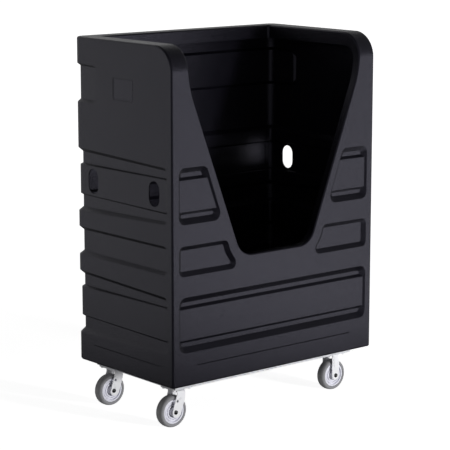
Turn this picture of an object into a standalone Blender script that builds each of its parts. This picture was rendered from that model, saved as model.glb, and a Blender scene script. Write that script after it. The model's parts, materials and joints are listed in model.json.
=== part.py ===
# Bulk transport cart: a one-piece moulded plastic tub with a V shaped loading opening in its
# front wall, bolted to a low steel frame that runs on two swivel and two rigid casters.
# Metres, +Z up. The origin is on the ground under the middle of the tub. X runs along the
# cart's length with the swivel casters at -X, and the loading opening faces -Y.

import math

import bmesh
import bpy
from mathutils import Matrix

# Overall sizes
TUB_LENGTH = 1.240
TUB_DEPTH = 0.743
TUB_HEIGHT = 1.548
TUB_BOTTOM = 0.222
WALL = 0.006
GAP = 0.0003          # air between pieces that touch
MARGIN = 0.040        # how far a cutter reaches past the face that it cuts

HALF_LENGTH = TUB_LENGTH / 2
HALF_DEPTH = TUB_DEPTH / 2
TUB_TOP = TUB_BOTTOM + TUB_HEIGHT

# Tub corners
BACK_CORNER_RADIUS = 0.050
BACK_CORNER_STEPS = 5
FRONT_CORNER_RADIUS = 0.010
FRONT_CORNER_STEPS = 2
SHOULDER_RADIUS = 0.122       # upper front corner of the side walls
SHOULDER_STEPS = 9
SHOULDER_LIFT = 0.0003
EDGE_ROUNDING = 0.009
EDGE_STEPS = 2
LIP_CLEARANCE = 0.001         # keeps the rim lip's two cutters from sharing faces

# Loading opening, as heights above the tub's bottom
SILL_HEIGHT = 0.566
SILL_CORNER_RADIUS = 0.0965
JAMB_REFERENCE_HEIGHT = 0.691
JAMB_REFERENCE_HALF_WIDTH = 0.260
JAMB_LEAN = 0.381             # sideways travel for each metre of height
JAMB_TOP_RADIUS = 0.490
MOUTH_HALF_WIDTH = 0.522
MOUTH_BACK = 0.285            # inner edge of the back rim
MOUTH_CORNER_RADIUS = 0.014
RIM_LIP_DROP = 0.065
JAMB_LIP_DEPTH = 0.040
LIP_SHOULDER_RADIUS = 0.070

# Grooves that wrap the left, back and right walls. Each has two sections, one at its front
# ends and one round the back corners, as (height above the tub's bottom, depth) pairs.
GROOVE_FRONT = -0.3325
GROOVE_END_RADIUS = 0.022
GROOVE_EDGE_SET = 0.0005      # a groove's edges start this far outside the wall
CORNER_LEAD = 0.005           # where a groove starts to turn before a back corner
END_PULL = math.tan(math.radians(22.5))    # share of the wall that an inner groove end moves
UPPER_BELT = (
    ((1.0060, 0), (0.9915, 0.013), (0.9575, 0.013), (0.9525, 0.006),
     (0.8035, 0.006), (0.7950, 0.013), (0.7615, 0.013), (0.7480, 0)),
    ((1.0275, 0), (1.0080, 0.022), (0.9535, 0.022), (0.9465, 0.009),
     (0.8090, 0.009), (0.8010, 0.022), (0.7445, 0.022), (0.7260, 0)),
)
MIDDLE_GROOVE = (
    ((0.6505, 0), (0.6360, 0.013), (0.5325, 0.013), (0.5170, 0)),
    ((0.6510, 0), (0.6325, 0.022), (0.5330, 0.022), (0.5155, 0)),
)
LOWER_BELT = (
    ((0.4160, 0), (0.4000, 0.014), (0.3700, 0.014), (0.3650, 0.006),
     (0.2130, 0.006), (0.2055, 0.014), (0.1760, 0.014), (0.1535, 0)),
    ((0.4385, 0), (0.4185, 0.023), (0.3650, 0.023), (0.3565, 0.009),
     (0.2195, 0.009), (0.2110, 0.023), (0.1570, 0.023), (0.1345, 0)),
)
BACK_RECESS_FRONT = 0.180
BACK_RECESS = (
    ((1.4205, 0), (1.4095, 0.012), (1.2575, 0.012), (1.2460, 0)),
    ((1.4245, 0), (1.4130, 0.015), (1.2570, 0.015), (1.2430, 0)),
)

# Pockets in the front wall, as heights above the tub's bottom
POCKET_DEPTH = 0.020
POCKET_SLOPE = 1.3            # sideways run of a pocket's side for each metre of depth
POCKET_KNEE = 0.002           # the slope starts this far outside the wall
PANEL_DEPTH = 0.008
POCKET_OUTER_X = 0.5815
UPPER_POCKET = (              # x, height, corner radius
    (-POCKET_OUTER_X, 0.748, 0.030), (-0.3262, 0.748, 0.034),
    (-0.4215, 1.006, 0.034), (-POCKET_OUTER_X, 1.006, 0.030),
)
LOWER_POCKET = (
    (-POCKET_OUTER_X, 0.511, 0.024), (-0.2373, 0.511, 0.024), (-0.2516, 0.554, 0.030),
    (-0.2827, 0.599, 0.090), (-0.2970, 0.650, 0.028), (-POCKET_OUTER_X, 0.650, 0.024),
)
LOWER_POCKET_DEPTH = 0.016
WIDE_POCKET = (
    (-POCKET_OUTER_X, 0.1555, 0.035), (POCKET_OUTER_X, 0.1555, 0.035),
    (POCKET_OUTER_X, 0.4140, 0.035), (-POCKET_OUTER_X, 0.4140, 0.035),
)
UPPER_PANEL = ((0.961, 0.949), (0.805, 0.791))    # foot and top edge of the panel's two sides
WIDE_PANEL = ((0.370, 0.358), (0.213, 0.201))

# Handholds in the side walls
SLOT_WIDTH = 0.0755
SLOT_HEIGHT = 0.115
SLOT_CENTRE_HEIGHT = 0.8775
SLOT_PLACES = (-0.2325, 0.2325)

# Shallow moulded lines and the blank label panel
CREASE_HEIGHT = 0.003
CREASE_DEPTH = 0.002
FRONT_CREASE_LEVEL = 0.0895
FRONT_CREASE_HALF_LENGTH = 0.4775
SIDE_CREASE_LEVEL = 0.0865
SIDE_CREASE_FRONT = -0.279
SIDE_CREASE_BACK = 0.233
LABEL_LENGTH = 0.1525
LABEL_HEIGHT = 0.1005
LABEL_CENTRE = (-0.0138, 1.328)
LABEL_DEPTH = 0.0012

# Steel base frame
FRAME_HEIGHT = 0.0309
FRAME_HALF_LENGTH = 0.552
FRAME_HALF_DEPTH = 0.303
RAIL_WIDTH = 0.030
STEEL = 0.003
CASTER_CHANNEL_WIDTH = 0.114
CENTRE_CHANNEL_WIDTH = 0.060
FRAME_TOP = TUB_BOTTOM - GAP
FRAME_BOTTOM = FRAME_TOP - FRAME_HEIGHT

# Casters
WHEEL_RADIUS = 0.0762
WHEEL_WIDTH = 0.048
WHEEL_STEPS = 36
TYRE_SECTION = ((0.0080, 0.0), (0.0022, 0.007), (0.0, 0.016))    # (below the tread, in from the side)
TYRE_BEAD = 0.002             # how far the tyre's inner edge lies in from its side
HUB_STEPS = 24
HUB_RADIUS = 0.058
HUB_WIDTH = 0.044
HUB_RING = 0.049              # inner radius of the hub's flat outer ring
HUB_RING_BEVEL = 0.002
HUB_WEB = ((0.021, 0.014), (0.045, 0.012))    # (radius, half thickness) at the web's two ends
BOSS_RADIUS = 0.020
BOSS_HALF_LENGTH = 0.0302
BEARING_OUTER = 0.0118
BEARING_HALF_LENGTH = 0.026
BEARING_STEPS = 16
BUSHING_OUTER = 0.0085
SLIP_FIT = 0.0005             # air between pieces that turn on one another
AXLE_RADIUS = 0.0063
AXLE_STEPS = 12
AXLE_HEAD_RADIUS = 0.0108
AXLE_HEAD_HEIGHT = 0.008
AXLE_HEAD_BEVEL = (0.0033, 0.002)    # (in from the rim, down from the face)
AXLE_TAIL = 0.015             # how far the bolt's end stands past the far leg
AXLE_TIP_BEVEL = 0.001
AXLE_NUT_RADIUS = 0.0112
AXLE_NUT_HEIGHT = 0.011
FORK_INNER = 0.0313           # half the space between the fork's legs
FORK_STEEL = 0.0045
FORK_BEND = 0.006
LEG_FOOT_RADIUS = 0.0225
SWIVEL_FOOT_RADIUS = 0.0255
SWIVEL_FOOT_SHIFT = (0.0070, -0.0010)    # foot arc's centre from the axle
LEG_LEAN = -15                # degrees that a swivel fork's legs lean
LEG_BACK = ((0.0215, 0.060), (0.0235, 0.082))    # (x, height above the axle) up the leg's back
CROWN_HALF_LENGTH = 0.0235
SIGHT_HOLE_RADIUS = 0.0064
SIGHT_HOLE_SHIFT = (0.0115, 0.051)       # from the axle
RIB_HALF_WIDTH = 0.014
RIB_RISE = 0.003
RIB_ROOT = 0.001              # how far a rib is sunk into the leg
RIB_FOOT = 0.057              # centre of the rib's round end above the axle
RIB_HEADROOM = 0.004
CASTER_SIDE = 0.2388
SWIVEL_X = -0.4945
SWIVEL_TRAIL = 0.0325
RIGID_X = 0.4823
PLATE_LENGTH = 0.1143
PLATE_WIDTH = 0.1016
PLATE_THICKNESS = 0.006
PLATE_CORNER = 0.008
PLATE_TOP = FRAME_BOTTOM - GAP
WELD_DEPTH = 0.002            # thickness left under a rigid caster's plate where the legs join
CROWN_TOP = 0.1750
CROWN_SKIRT = 0.016
KING_RADIUS = 0.0075
KING_HEAD_RADIUS = 0.012
KING_HEAD_HEIGHT = 0.005
KING_STEPS = 16
RACE_RADIUS = 0.0285
RACE_DROP = 0.006
RACE_LIP = 0.003
RACE_FUSE = 0.002             # how far the race dish is sunk into the plate
RACE_STEPS = 20
BALL_RADIUS = 0.0026
BALL_CIRCLE = 0.0195

# Fasteners
CASTER_BOLT_RADIUS = 0.0048
CASTER_BOLT_X = 0.0445
CASTER_BOLT_Y = 0.0381
CASTER_BOLT_HEAD = 0.0082
CASTER_BOLT_HEAD_HEIGHT = 0.006
CASTER_NUT_HEIGHT = 0.008
BODY_BOLT_RADIUS = 0.0040
BODY_BOLT_X = 0.400
BODY_BOLT_Y = 0.2870
BODY_BOLT_DOME = 0.0095
DOME_FLATNESS = 0.45          # height of the domed head for each metre of its radius
BODY_NUT_RADIUS = 0.0075
BODY_NUT_HEIGHT = 0.007
BOLT_TIP = 0.004              # how far a bolt's end stands past its nut
HOLE_CLEARANCE = 0.0005
BOLT_HOLE_REACH = 0.004       # how far a plate's bolt holes are cut below it

# Finishes: base colour, roughness, metallic
FINISHES = {
    "black_polyethylene": ((0.020, 0.020, 0.023), 0.45, 0.0),
    "galvanised_steel": ((0.60, 0.61, 0.63), 0.42, 1.0),
    "bright_zinc": ((0.78, 0.79, 0.82), 0.28, 1.0),
    "grey_rubber": ((0.150, 0.150, 0.160), 0.60, 0.0),
    "light_grey_plastic": ((0.58, 0.58, 0.62), 0.45, 0.0),
    "dark_steel": ((0.12, 0.12, 0.13), 0.40, 1.0),
}

PARTS = "bulk_transport_cart"
CUTTERS = "cutters"


def clear_scene():
    for item in list(bpy.data.objects):
        bpy.data.objects.remove(item, do_unlink=True)
    for name in (PARTS, CUTTERS):
        collection = bpy.data.collections.new(name)
        bpy.context.scene.collection.children.link(collection)


def link(item, collection):
    bpy.data.collections[collection].objects.link(item)
    if collection == CUTTERS:
        item.hide_render = True
        item.display_type = 'WIRE'
    return item


def finish(item, finish_name):
    """Give a part a material of its own in one of the cart's finishes."""
    colour, roughness, metallic = FINISHES[finish_name]
    material = bpy.data.materials.new(item.name + "_" + finish_name)
    material.use_nodes = True
    shader = material.node_tree.nodes["Principled BSDF"]
    shader.inputs["Base Color"].default_value = (*colour, 1.0)
    shader.inputs["Roughness"].default_value = roughness
    shader.inputs["Metallic"].default_value = metallic
    material.diffuse_color = (*colour, 1.0)
    item.data.materials.clear()
    item.data.materials.append(material)
    return item


def place(item, location=(0, 0, 0), rotation=(0, 0, 0), parent=None):
    item.location = location
    item.rotation_euler = rotation
    item.parent = parent
    return item


def empty(name, location, parent=None):
    marker = bpy.data.objects.new(name, None)
    marker.empty_display_size = 0.05
    link(marker, PARTS)
    return place(marker, location, parent=parent)


# Outlines

def arc(centre, radius, start, end, steps):
    """Points along an arc, angles in degrees, both ends included."""
    points = []
    for step in range(steps + 1):
        angle = math.radians(start + (end - start) * step / steps)
        points.append((centre[0] + radius * math.cos(angle), centre[1] + radius * math.sin(angle)))
    return points


def rounded(corners, degrees_per_step=18):
    """Outline through corners given as (a, b, radius), each corner replaced by its arc."""
    outline = []
    count = len(corners)
    for index, (a, b, radius) in enumerate(corners):
        before = corners[index - 1]
        after = corners[(index + 1) % count]
        if radius <= 0:
            outline.append((a, b))
            continue
        to_before = math.atan2(before[1] - b, before[0] - a)
        to_after = math.atan2(after[1] - b, after[0] - a)
        opening = (to_after - to_before + math.pi) % (2 * math.pi) - math.pi
        half = abs(opening) / 2
        reach = radius / math.sin(half)
        middle = to_before + opening / 2
        centre = (a + reach * math.cos(middle), b + reach * math.sin(middle))
        side = 1 if opening > 0 else -1
        start = math.degrees(to_before) - 90 * side
        turn = math.degrees(math.pi - 2 * half) * -side
        steps = max(1, round(abs(turn) / degrees_per_step))
        outline += arc(centre, radius, start, start + turn, steps)
    return outline


def signed_area(outline):
    return sum(a[0] * b[1] - b[0] * a[1] for a, b in zip(outline, outline[1:] + outline[:1])) / 2


def grown(outline, distance):
    """Outline moved outwards everywhere by a distance, with mitred corners."""
    side = 1 if signed_area(outline) > 0 else -1
    result = []
    count = len(outline)
    for index, (a, b) in enumerate(outline):
        previous = outline[index - 1]
        following = outline[(index + 1) % count]
        first = normal_of(previous, (a, b), side)
        second = normal_of((a, b), following, side)
        spread = 1 + first[0] * second[0] + first[1] * second[1]
        result.append((a + distance * (first[0] + second[0]) / spread,
                       b + distance * (first[1] + second[1]) / spread))
    return result


def normal_of(start, end, side):
    along = (end[0] - start[0], end[1] - start[1])
    length = math.hypot(*along)
    return (along[1] / length * side, -along[0] / length * side)


# Meshes

AXES = {      # where a flat outline's own x, y and z point for a prism along each axis
    "X": Matrix(((0, 0, 1, 0), (1, 0, 0, 0), (0, 1, 0, 0), (0, 0, 0, 1))),
    "Y": Matrix(((1, 0, 0, 0), (0, 0, -1, 0), (0, 1, 0, 0), (0, 0, 0, 1))),
    "Z": Matrix.Identity(4),
}


def prism(name, outline, start, end, axis="Z", collection=CUTTERS):
    """A flat outline extruded from start to end along an axis, as a mesh object."""
    curve = bpy.data.curves.new(name, 'CURVE')
    curve.dimensions = '2D'
    curve.fill_mode = 'BOTH'
    curve.extrude = abs(end - start) / 2
    spline = curve.splines.new('POLY')
    spline.points.add(len(outline) - 1)
    for point, (a, b) in zip(spline.points, outline):
        point.co = (a, b, 0, 1)
    spline.use_cyclic_u = True
    flat = bpy.data.objects.new(name + "_outline", curve)
    bpy.context.scene.collection.objects.link(flat)
    bpy.context.view_layer.update()
    evaluated = flat.evaluated_get(bpy.context.evaluated_depsgraph_get())
    mesh = bpy.data.meshes.new_from_object(evaluated)
    bpy.data.objects.remove(flat, do_unlink=True)
    bpy.data.curves.remove(curve)
    mesh.name = name
    solid = bmesh.new()
    solid.from_mesh(mesh)
    bmesh.ops.remove_doubles(solid, verts=solid.verts, dist=0.00001)
    bmesh.ops.dissolve_limit(solid, angle_limit=math.radians(0.5), verts=solid.verts,
                             edges=solid.edges)
    bmesh.ops.recalc_face_normals(solid, faces=solid.faces)
    solid.transform(AXES[axis])
    middle = [0.0, 0.0, 0.0]
    middle["XYZ".index(axis)] = (start + end) / 2
    solid.to_mesh(mesh)
    solid.free()
    return link(place(bpy.data.objects.new(name, mesh), middle), collection)


def loft(name, rings, collection=CUTTERS):
    """A closed solid through rings of equally many points, from the first ring to the last."""
    solid = bmesh.new()
    loops = [[solid.verts.new(point) for point in ring] for ring in rings]
    for near, far in zip(loops, loops[1:]):
        for index in range(len(near)):
            following = (index + 1) % len(near)
            solid.faces.new((near[index], near[following], far[following], far[index]))
    solid.faces.new(loops[0])
    solid.faces.new(loops[-1])
    bmesh.ops.recalc_face_normals(solid, faces=solid.faces)
    return mesh_object(name, solid, collection)


def mesh_object(name, solid, collection):
    mesh = bpy.data.meshes.new(name)
    solid.to_mesh(mesh)
    solid.free()
    return link(bpy.data.objects.new(name, mesh), collection)


def box(name, low, high, collection=CUTTERS):
    solid = bmesh.new()
    bmesh.ops.create_cube(solid, size=1.0)
    sizes = [high[axis] - low[axis] for axis in range(3)]
    bmesh.ops.scale(solid, vec=sizes, verts=solid.verts)
    centre = [(high[axis] + low[axis]) / 2 for axis in range(3)]
    return place(mesh_object(name, solid, collection), centre)


def rod(solid, radius, low, high, steps, at=(0, 0), turn=0.0):
    """Add an upright cylinder to a bmesh."""
    matrix = Matrix.Translation((at[0], at[1], (low + high) / 2)) @ Matrix.Rotation(turn, 4, 'Z')
    bmesh.ops.create_cone(solid, cap_ends=True, segments=steps, radius1=radius, radius2=radius,
                          depth=high - low, matrix=matrix)


def turned(name, profile, steps, closed=False, collection=PARTS):
    """A profile of (radius, height) points turned about the object's own Z axis."""
    mesh = bpy.data.meshes.new(name)
    edges = [(index, index + 1) for index in range(len(profile) - 1)]
    if closed:
        edges.append((len(profile) - 1, 0))
    mesh.from_pydata([(radius, 0, height) for radius, height in profile], edges, [])
    item = link(bpy.data.objects.new(name, mesh), collection)
    screw = item.modifiers.new("Turn", 'SCREW')
    screw.axis = 'Z'
    screw.steps = steps
    screw.render_steps = steps
    screw.use_merge_vertices = True
    screw.merge_threshold = 0.00001
    screw.use_smooth_shade = True
    return item


def boolean(item, other, operation):
    modifier = item.modifiers.new(other.name[:40], 'BOOLEAN')
    modifier.operation = operation
    modifier.solver = 'EXACT'
    modifier.object = other
    return item


def cut(item, *cutters):
    for cutter in cutters:
        boolean(item, cutter, 'DIFFERENCE')
    return item


def fuse(item, *others):
    for other in others:
        boolean(item, other, 'UNION')
    return item


# Tub

def raised(height):
    """A height above the tub's bottom as a height above the ground."""
    return height + TUB_BOTTOM


def tub_block(name, inset, collection):
    """The tub's outer form with rounded edges, drawn in by an inset on every side."""
    x = HALF_LENGTH - inset
    y = HALF_DEPTH - inset
    front = FRONT_CORNER_RADIUS - inset
    back = BACK_CORNER_RADIUS - inset
    outline = arc((front - x, front - y), front, 180, 270, FRONT_CORNER_STEPS)
    outline += arc((x - front, front - y), front, 270, 360, FRONT_CORNER_STEPS)
    outline += arc((x - back, y - back), back, 0, 90, BACK_CORNER_STEPS)
    outline += arc((back - x, y - back), back, 90, 180, BACK_CORNER_STEPS)
    low = TUB_BOTTOM + inset
    high = TUB_TOP - inset
    steps = edge_steps(EDGE_ROUNDING - inset)
    levels = [(low + rise, pull) for pull, rise in steps]
    levels += [(high - rise, pull) for pull, rise in reversed(steps)]
    rings = [[(a, b, z) for a, b in grown(outline, -pull)] for z, pull in levels]
    block = loft(name, rings, collection)

    # The rounded shoulders, set a hair outside the top and front so that no faces coincide
    shoulder = SHOULDER_RADIUS - inset
    centre = (shoulder - y - SHOULDER_LIFT, high - shoulder + SHOULDER_LIFT)
    rings = []
    ends = [(-x - MARGIN, steps[0][0])] + [(rise - x, pull) for pull, rise in steps]
    ends += [(-at, pull) for at, pull in reversed(ends)]
    for at, pull in ends:
        ring = arc(centre, shoulder - pull, 180, 90, SHOULDER_STEPS)
        ring += [(centre[0], TUB_TOP + MARGIN), (-HALF_DEPTH - MARGIN, TUB_TOP + MARGIN),
                 (-HALF_DEPTH - MARGIN, centre[1])]
        rings.append([(at, a, b) for a, b in ring])
    cut(block, loft(name + "_shoulder", rings))
    return block


def edge_steps(radius):
    """Section of a rounded edge as (distance drawn in, distance from the face) pairs."""
    return arc((radius, radius), radius, 270, 180, EDGE_STEPS)


def wall_path(front):
    """Plan points, outward directions and travel (0 at the front ends, 1 at the back)."""
    x = HALF_LENGTH
    arc_start = HALF_DEPTH - BACK_CORNER_RADIUS
    stops = []
    for reach in end_reaches():
        stops.append(((-x, front + reach), (-1, 0), 0.0, reach))
    stops.append(((-x, arc_start - CORNER_LEAD), (-1, 0), 1.0, None))
    for step in range(BACK_CORNER_STEPS):      # between the tub's own corner edges
        angle = math.pi - (step + 0.5) * math.pi / 2 / BACK_CORNER_STEPS
        outward = (math.cos(angle), math.sin(angle))
        centre = (BACK_CORNER_RADIUS - x, arc_start)
        point = tuple(centre[i] + BACK_CORNER_RADIUS * outward[i] for i in range(2))
        stops.append((point, outward, 1.0, None))
    stops.append(((BACK_CORNER_RADIUS - x + CORNER_LEAD, HALF_DEPTH), (0, 1), 1.0, None))
    mirrored = []
    for point, outward, travel, reach in reversed(stops):
        mirrored.append(((-point[0], point[1]), (-outward[0], outward[1]), travel, reach))
    return stops + mirrored


def end_reaches():
    """Distances from a groove's closed end at which its rounded, sloping end is drawn."""
    return (0.0, GROOVE_END_RADIUS * 0.25, GROOVE_END_RADIUS)


def groove_section(section, reach):
    """Section of a groove at some distance from its closed end (None well away from it)."""
    if reach is None:
        return list(section)
    lift = GROOVE_END_RADIUS - math.sqrt(GROOVE_END_RADIUS ** 2 - (GROOVE_END_RADIUS - reach) ** 2)
    deepest = max(depth for height, depth in section)
    top = section[0][0]
    bottom = section[-1][0]
    middle = (top + bottom) / 2
    reached = min(1.0, (reach + 0.0004) / deepest)
    points = []
    for height, depth in section:
        edge = top if height > middle else bottom
        pulled = edge + (height - edge) * (reached if depth == deepest else 1.0)
        squeeze = lift if height > middle else -lift
        points.append((pulled - squeeze, min(depth, deepest * reached)))
    return points


def groove_cutter(name, sections, front, grow):
    """Cutter for a groove that wraps three walls, drawn out by grow for the tub's inside."""
    first, last = sections
    rings = []
    for point, outward, travel, reach in wall_path(front):
        base = first if travel == 0 else last
        profile = groove_section(base, reach)
        lip = [(height, depth if depth else -GROOVE_EDGE_SET) for height, depth in profile]
        lip = [(lip[0][0], -MARGIN)] + lip + [(lip[-1][0], -MARGIN)]
        shift = 0.0
        if grow:
            lip = grown(lip, grow)
            shift = -END_PULL * grow if reach is not None else 0.0
        rings.append([(point[0] - outward[0] * depth, point[1] - outward[1] * depth + shift,
                       raised(height)) for height, depth in lip])
    return loft(name, rings)


def pocket_cutter(name, corners, depth, grow, panel=None):
    """Cutter for a pocket in the front wall, with an optional raised panel across it."""
    outline = rounded(corners)
    rings = []
    for level in (-MARGIN, depth + grow):
        inset = POCKET_SLOPE * max(level, -POCKET_KNEE)
        spread = grow * math.hypot(1, POCKET_SLOPE) - inset
        ring = grown(outline, spread)
        rings.append([(a, -HALF_DEPTH + level, raised(b)) for a, b in ring])
    knee = grown(outline, grow * math.hypot(1, POCKET_SLOPE) + POCKET_SLOPE * POCKET_KNEE)
    rings.insert(1, [(a, -HALF_DEPTH - POCKET_KNEE, raised(b)) for a, b in knee])
    cutter = loft(name, rings)
    if panel:
        (upper_foot, upper_edge), (lower_edge, lower_foot) = panel
        run = (upper_foot - upper_edge) / (depth - PANEL_DEPTH)
        rise = MARGIN * run
        ridge = [(PANEL_DEPTH, lower_edge), (depth + MARGIN, lower_foot - rise),
                 (depth + MARGIN, upper_foot + rise), (PANEL_DEPTH, upper_edge)]
        ridge = [(a, b) for a, b in grown(ridge, -grow)] if grow else ridge
        ridge = [(-HALF_DEPTH + a, raised(b)) for a, b in ridge]
        cut(cutter, prism(name + "_panel", ridge, -HALF_LENGTH, HALF_LENGTH, "X"))
    return cutter


def mirrored_pocket(corners):
    return tuple((-a, b, radius) for a, b, radius in reversed(corners))


def opening_outline(grow):
    """The loading opening seen from the front, open through the top of the tub."""
    def jamb(height):
        return JAMB_REFERENCE_HALF_WIDTH + JAMB_LEAN * (height - JAMB_REFERENCE_HEIGHT)

    knee = JAMB_REFERENCE_HEIGHT + (MOUTH_HALF_WIDTH - JAMB_REFERENCE_HALF_WIDTH) / JAMB_LEAN
    sill = jamb(SILL_HEIGHT)
    top = TUB_HEIGHT + MARGIN
    corners = [
        (-sill, SILL_HEIGHT, SILL_CORNER_RADIUS), (sill, SILL_HEIGHT, SILL_CORNER_RADIUS),
        (MOUTH_HALF_WIDTH, knee, JAMB_TOP_RADIUS), (MOUTH_HALF_WIDTH, top, 0),
        (-MOUTH_HALF_WIDTH, top, 0), (-MOUTH_HALF_WIDTH, knee, JAMB_TOP_RADIUS),
    ]
    outline = rounded(corners, 7)
    return [(a, raised(b)) for a, b in grown(outline, grow)]


def opening_cutter(name, grow, clearance):
    """The loading opening and the open top, down to the free edge of the rim's lip."""
    cutter = prism(name, opening_outline(grow), -HALF_DEPTH - MARGIN, HALF_DEPTH, "Y")
    side = MOUTH_HALF_WIDTH + grow + LIP_CLEARANCE / 2
    back = MOUTH_BACK + grow
    plan = rounded([(-side, -HALF_DEPTH - 2 * MARGIN, 0), (side, -HALF_DEPTH - 2 * MARGIN, 0),
                    (side, back, MOUTH_CORNER_RADIUS + grow),
                    (-side, back, MOUTH_CORNER_RADIUS + grow)], 30)
    boolean(cutter, prism(name + "_plan", plan, TUB_BOTTOM, TUB_TOP + 2 * MARGIN), 'INTERSECT')
    front = JAMB_LIP_DEPTH - HALF_DEPTH - clearance
    top = TUB_TOP - RIM_LIP_DROP + clearance
    inside = rounded([(front, TUB_BOTTOM - MARGIN, 0), (HALF_DEPTH + MARGIN, TUB_BOTTOM - MARGIN, 0),
                      (HALF_DEPTH + MARGIN, top, 0), (front, top, LIP_SHOULDER_RADIUS)], 15)
    cut(cutter, prism(name + "_inside", inside, -HALF_LENGTH - MARGIN, HALF_LENGTH + MARGIN, "X"))
    return cutter


def wall_cutters(name, grow):
    """Everything pressed into the tub's walls from outside."""
    cutters = [
        groove_cutter(name + "_upper_belt", UPPER_BELT, GROOVE_FRONT, grow),
        groove_cutter(name + "_middle_groove", MIDDLE_GROOVE, GROOVE_FRONT, grow),
        groove_cutter(name + "_lower_belt", LOWER_BELT, GROOVE_FRONT, grow),
        groove_cutter(name + "_back_recess", BACK_RECESS, BACK_RECESS_FRONT, grow),
        pocket_cutter(name + "_wide_pocket", WIDE_POCKET, POCKET_DEPTH, grow, WIDE_PANEL),
    ]
    for side, flip in (("left", False), ("right", True)):
        upper = mirrored_pocket(UPPER_POCKET) if flip else UPPER_POCKET
        lower = mirrored_pocket(LOWER_POCKET) if flip else LOWER_POCKET
        cutters.append(pocket_cutter(f"{name}_upper_pocket_{side}", upper, POCKET_DEPTH, grow,
                                     UPPER_PANEL))
        cutters.append(pocket_cutter(f"{name}_lower_pocket_{side}", lower, LOWER_POCKET_DEPTH, grow))
    return cutters


def slot_cutter(name, y):
    half = SLOT_WIDTH / 2
    straight = SLOT_HEIGHT / 2 - half
    middle = raised(SLOT_CENTRE_HEIGHT)
    outline = arc((y, middle + straight), half, 0, 180, 10)
    outline += arc((y, middle - straight), half, 180, 360, 10)
    return prism(name, outline, -HALF_LENGTH - MARGIN, HALF_LENGTH + MARGIN, "X")


def crease_cutters():
    front = raised(FRONT_CREASE_LEVEL)
    side = raised(SIDE_CREASE_LEVEL)
    cutters = []
    for sign, word in ((-1, "front"), (1, "back")):
        low = -HALF_DEPTH - MARGIN if sign < 0 else HALF_DEPTH - CREASE_DEPTH
        high = CREASE_DEPTH - HALF_DEPTH if sign < 0 else HALF_DEPTH + MARGIN
        cutters.append(box(f"crease_{word}", (-FRONT_CREASE_HALF_LENGTH, low, front),
                           (FRONT_CREASE_HALF_LENGTH, high, front + CREASE_HEIGHT)))
    for sign, word in ((-1, "left"), (1, "right")):
        low = -HALF_LENGTH - MARGIN if sign < 0 else HALF_LENGTH - CREASE_DEPTH
        high = CREASE_DEPTH - HALF_LENGTH if sign < 0 else HALF_LENGTH + MARGIN
        cutters.append(box(f"crease_{word}", (low, SIDE_CREASE_FRONT, side),
                           (high, SIDE_CREASE_BACK, side + CREASE_HEIGHT)))
    return cutters


def label_cutter():
    y, height = LABEL_CENTRE
    return box("label_panel",
               (-HALF_LENGTH - MARGIN, y - LABEL_LENGTH / 2, raised(height) - LABEL_HEIGHT / 2),
               (LABEL_DEPTH - HALF_LENGTH, y + LABEL_LENGTH / 2, raised(height) + LABEL_HEIGHT / 2))


def body_bolt_places():
    """Name and plan position of each bolt that holds the tub on its frame."""
    places = []
    for side, row in ((-1, "front"), (1, "rear")):
        for end, column in ((-1, "left"), (1, "right")):
            places.append((f"{row}_{column}", end * BODY_BOLT_X, side * BODY_BOLT_Y))
    return places


def plan_places(places):
    return [(x, y) for name, x, y in places]


def hole_cutter(name, places, radius, low, high, steps=8):
    solid = bmesh.new()
    for spot in places:
        rod(solid, radius, low, high, steps, spot)
    return mesh_object(name, solid, CUTTERS)


def build_tub():
    tub = tub_block("cart_body", 0.0, PARTS)
    cut(tub, *wall_cutters("outer", 0.0))
    cut(tub, opening_cutter("mouth", 0.0, 0.0))
    cavity = tub_block("cavity", WALL, CUTTERS)
    cut(cavity, *wall_cutters("inner", WALL))
    cut(cavity, opening_cutter("lip", WALL, LIP_CLEARANCE))
    cut(tub, cavity)
    for index, y in enumerate(SLOT_PLACES):
        cut(tub, slot_cutter(f"handhold_{index + 1}", y))
    cut(tub, *crease_cutters())
    cut(tub, label_cutter())
    cut(tub, hole_cutter("floor_holes", plan_places(body_bolt_places()),
                         BODY_BOLT_RADIUS + HOLE_CLEARANCE,
                         TUB_BOTTOM - MARGIN, TUB_BOTTOM + MARGIN))
    finish(tub, "black_polyethylene")


# Base frame

def channel_outline(width, height, steel):
    """A channel lying on its web, its legs pointing up."""
    half = width / 2
    return [(-half, 0), (half, 0), (half, height), (half - steel, height), (half - steel, steel),
            (steel - half, steel), (steel - half, height), (-half, height)]


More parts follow.
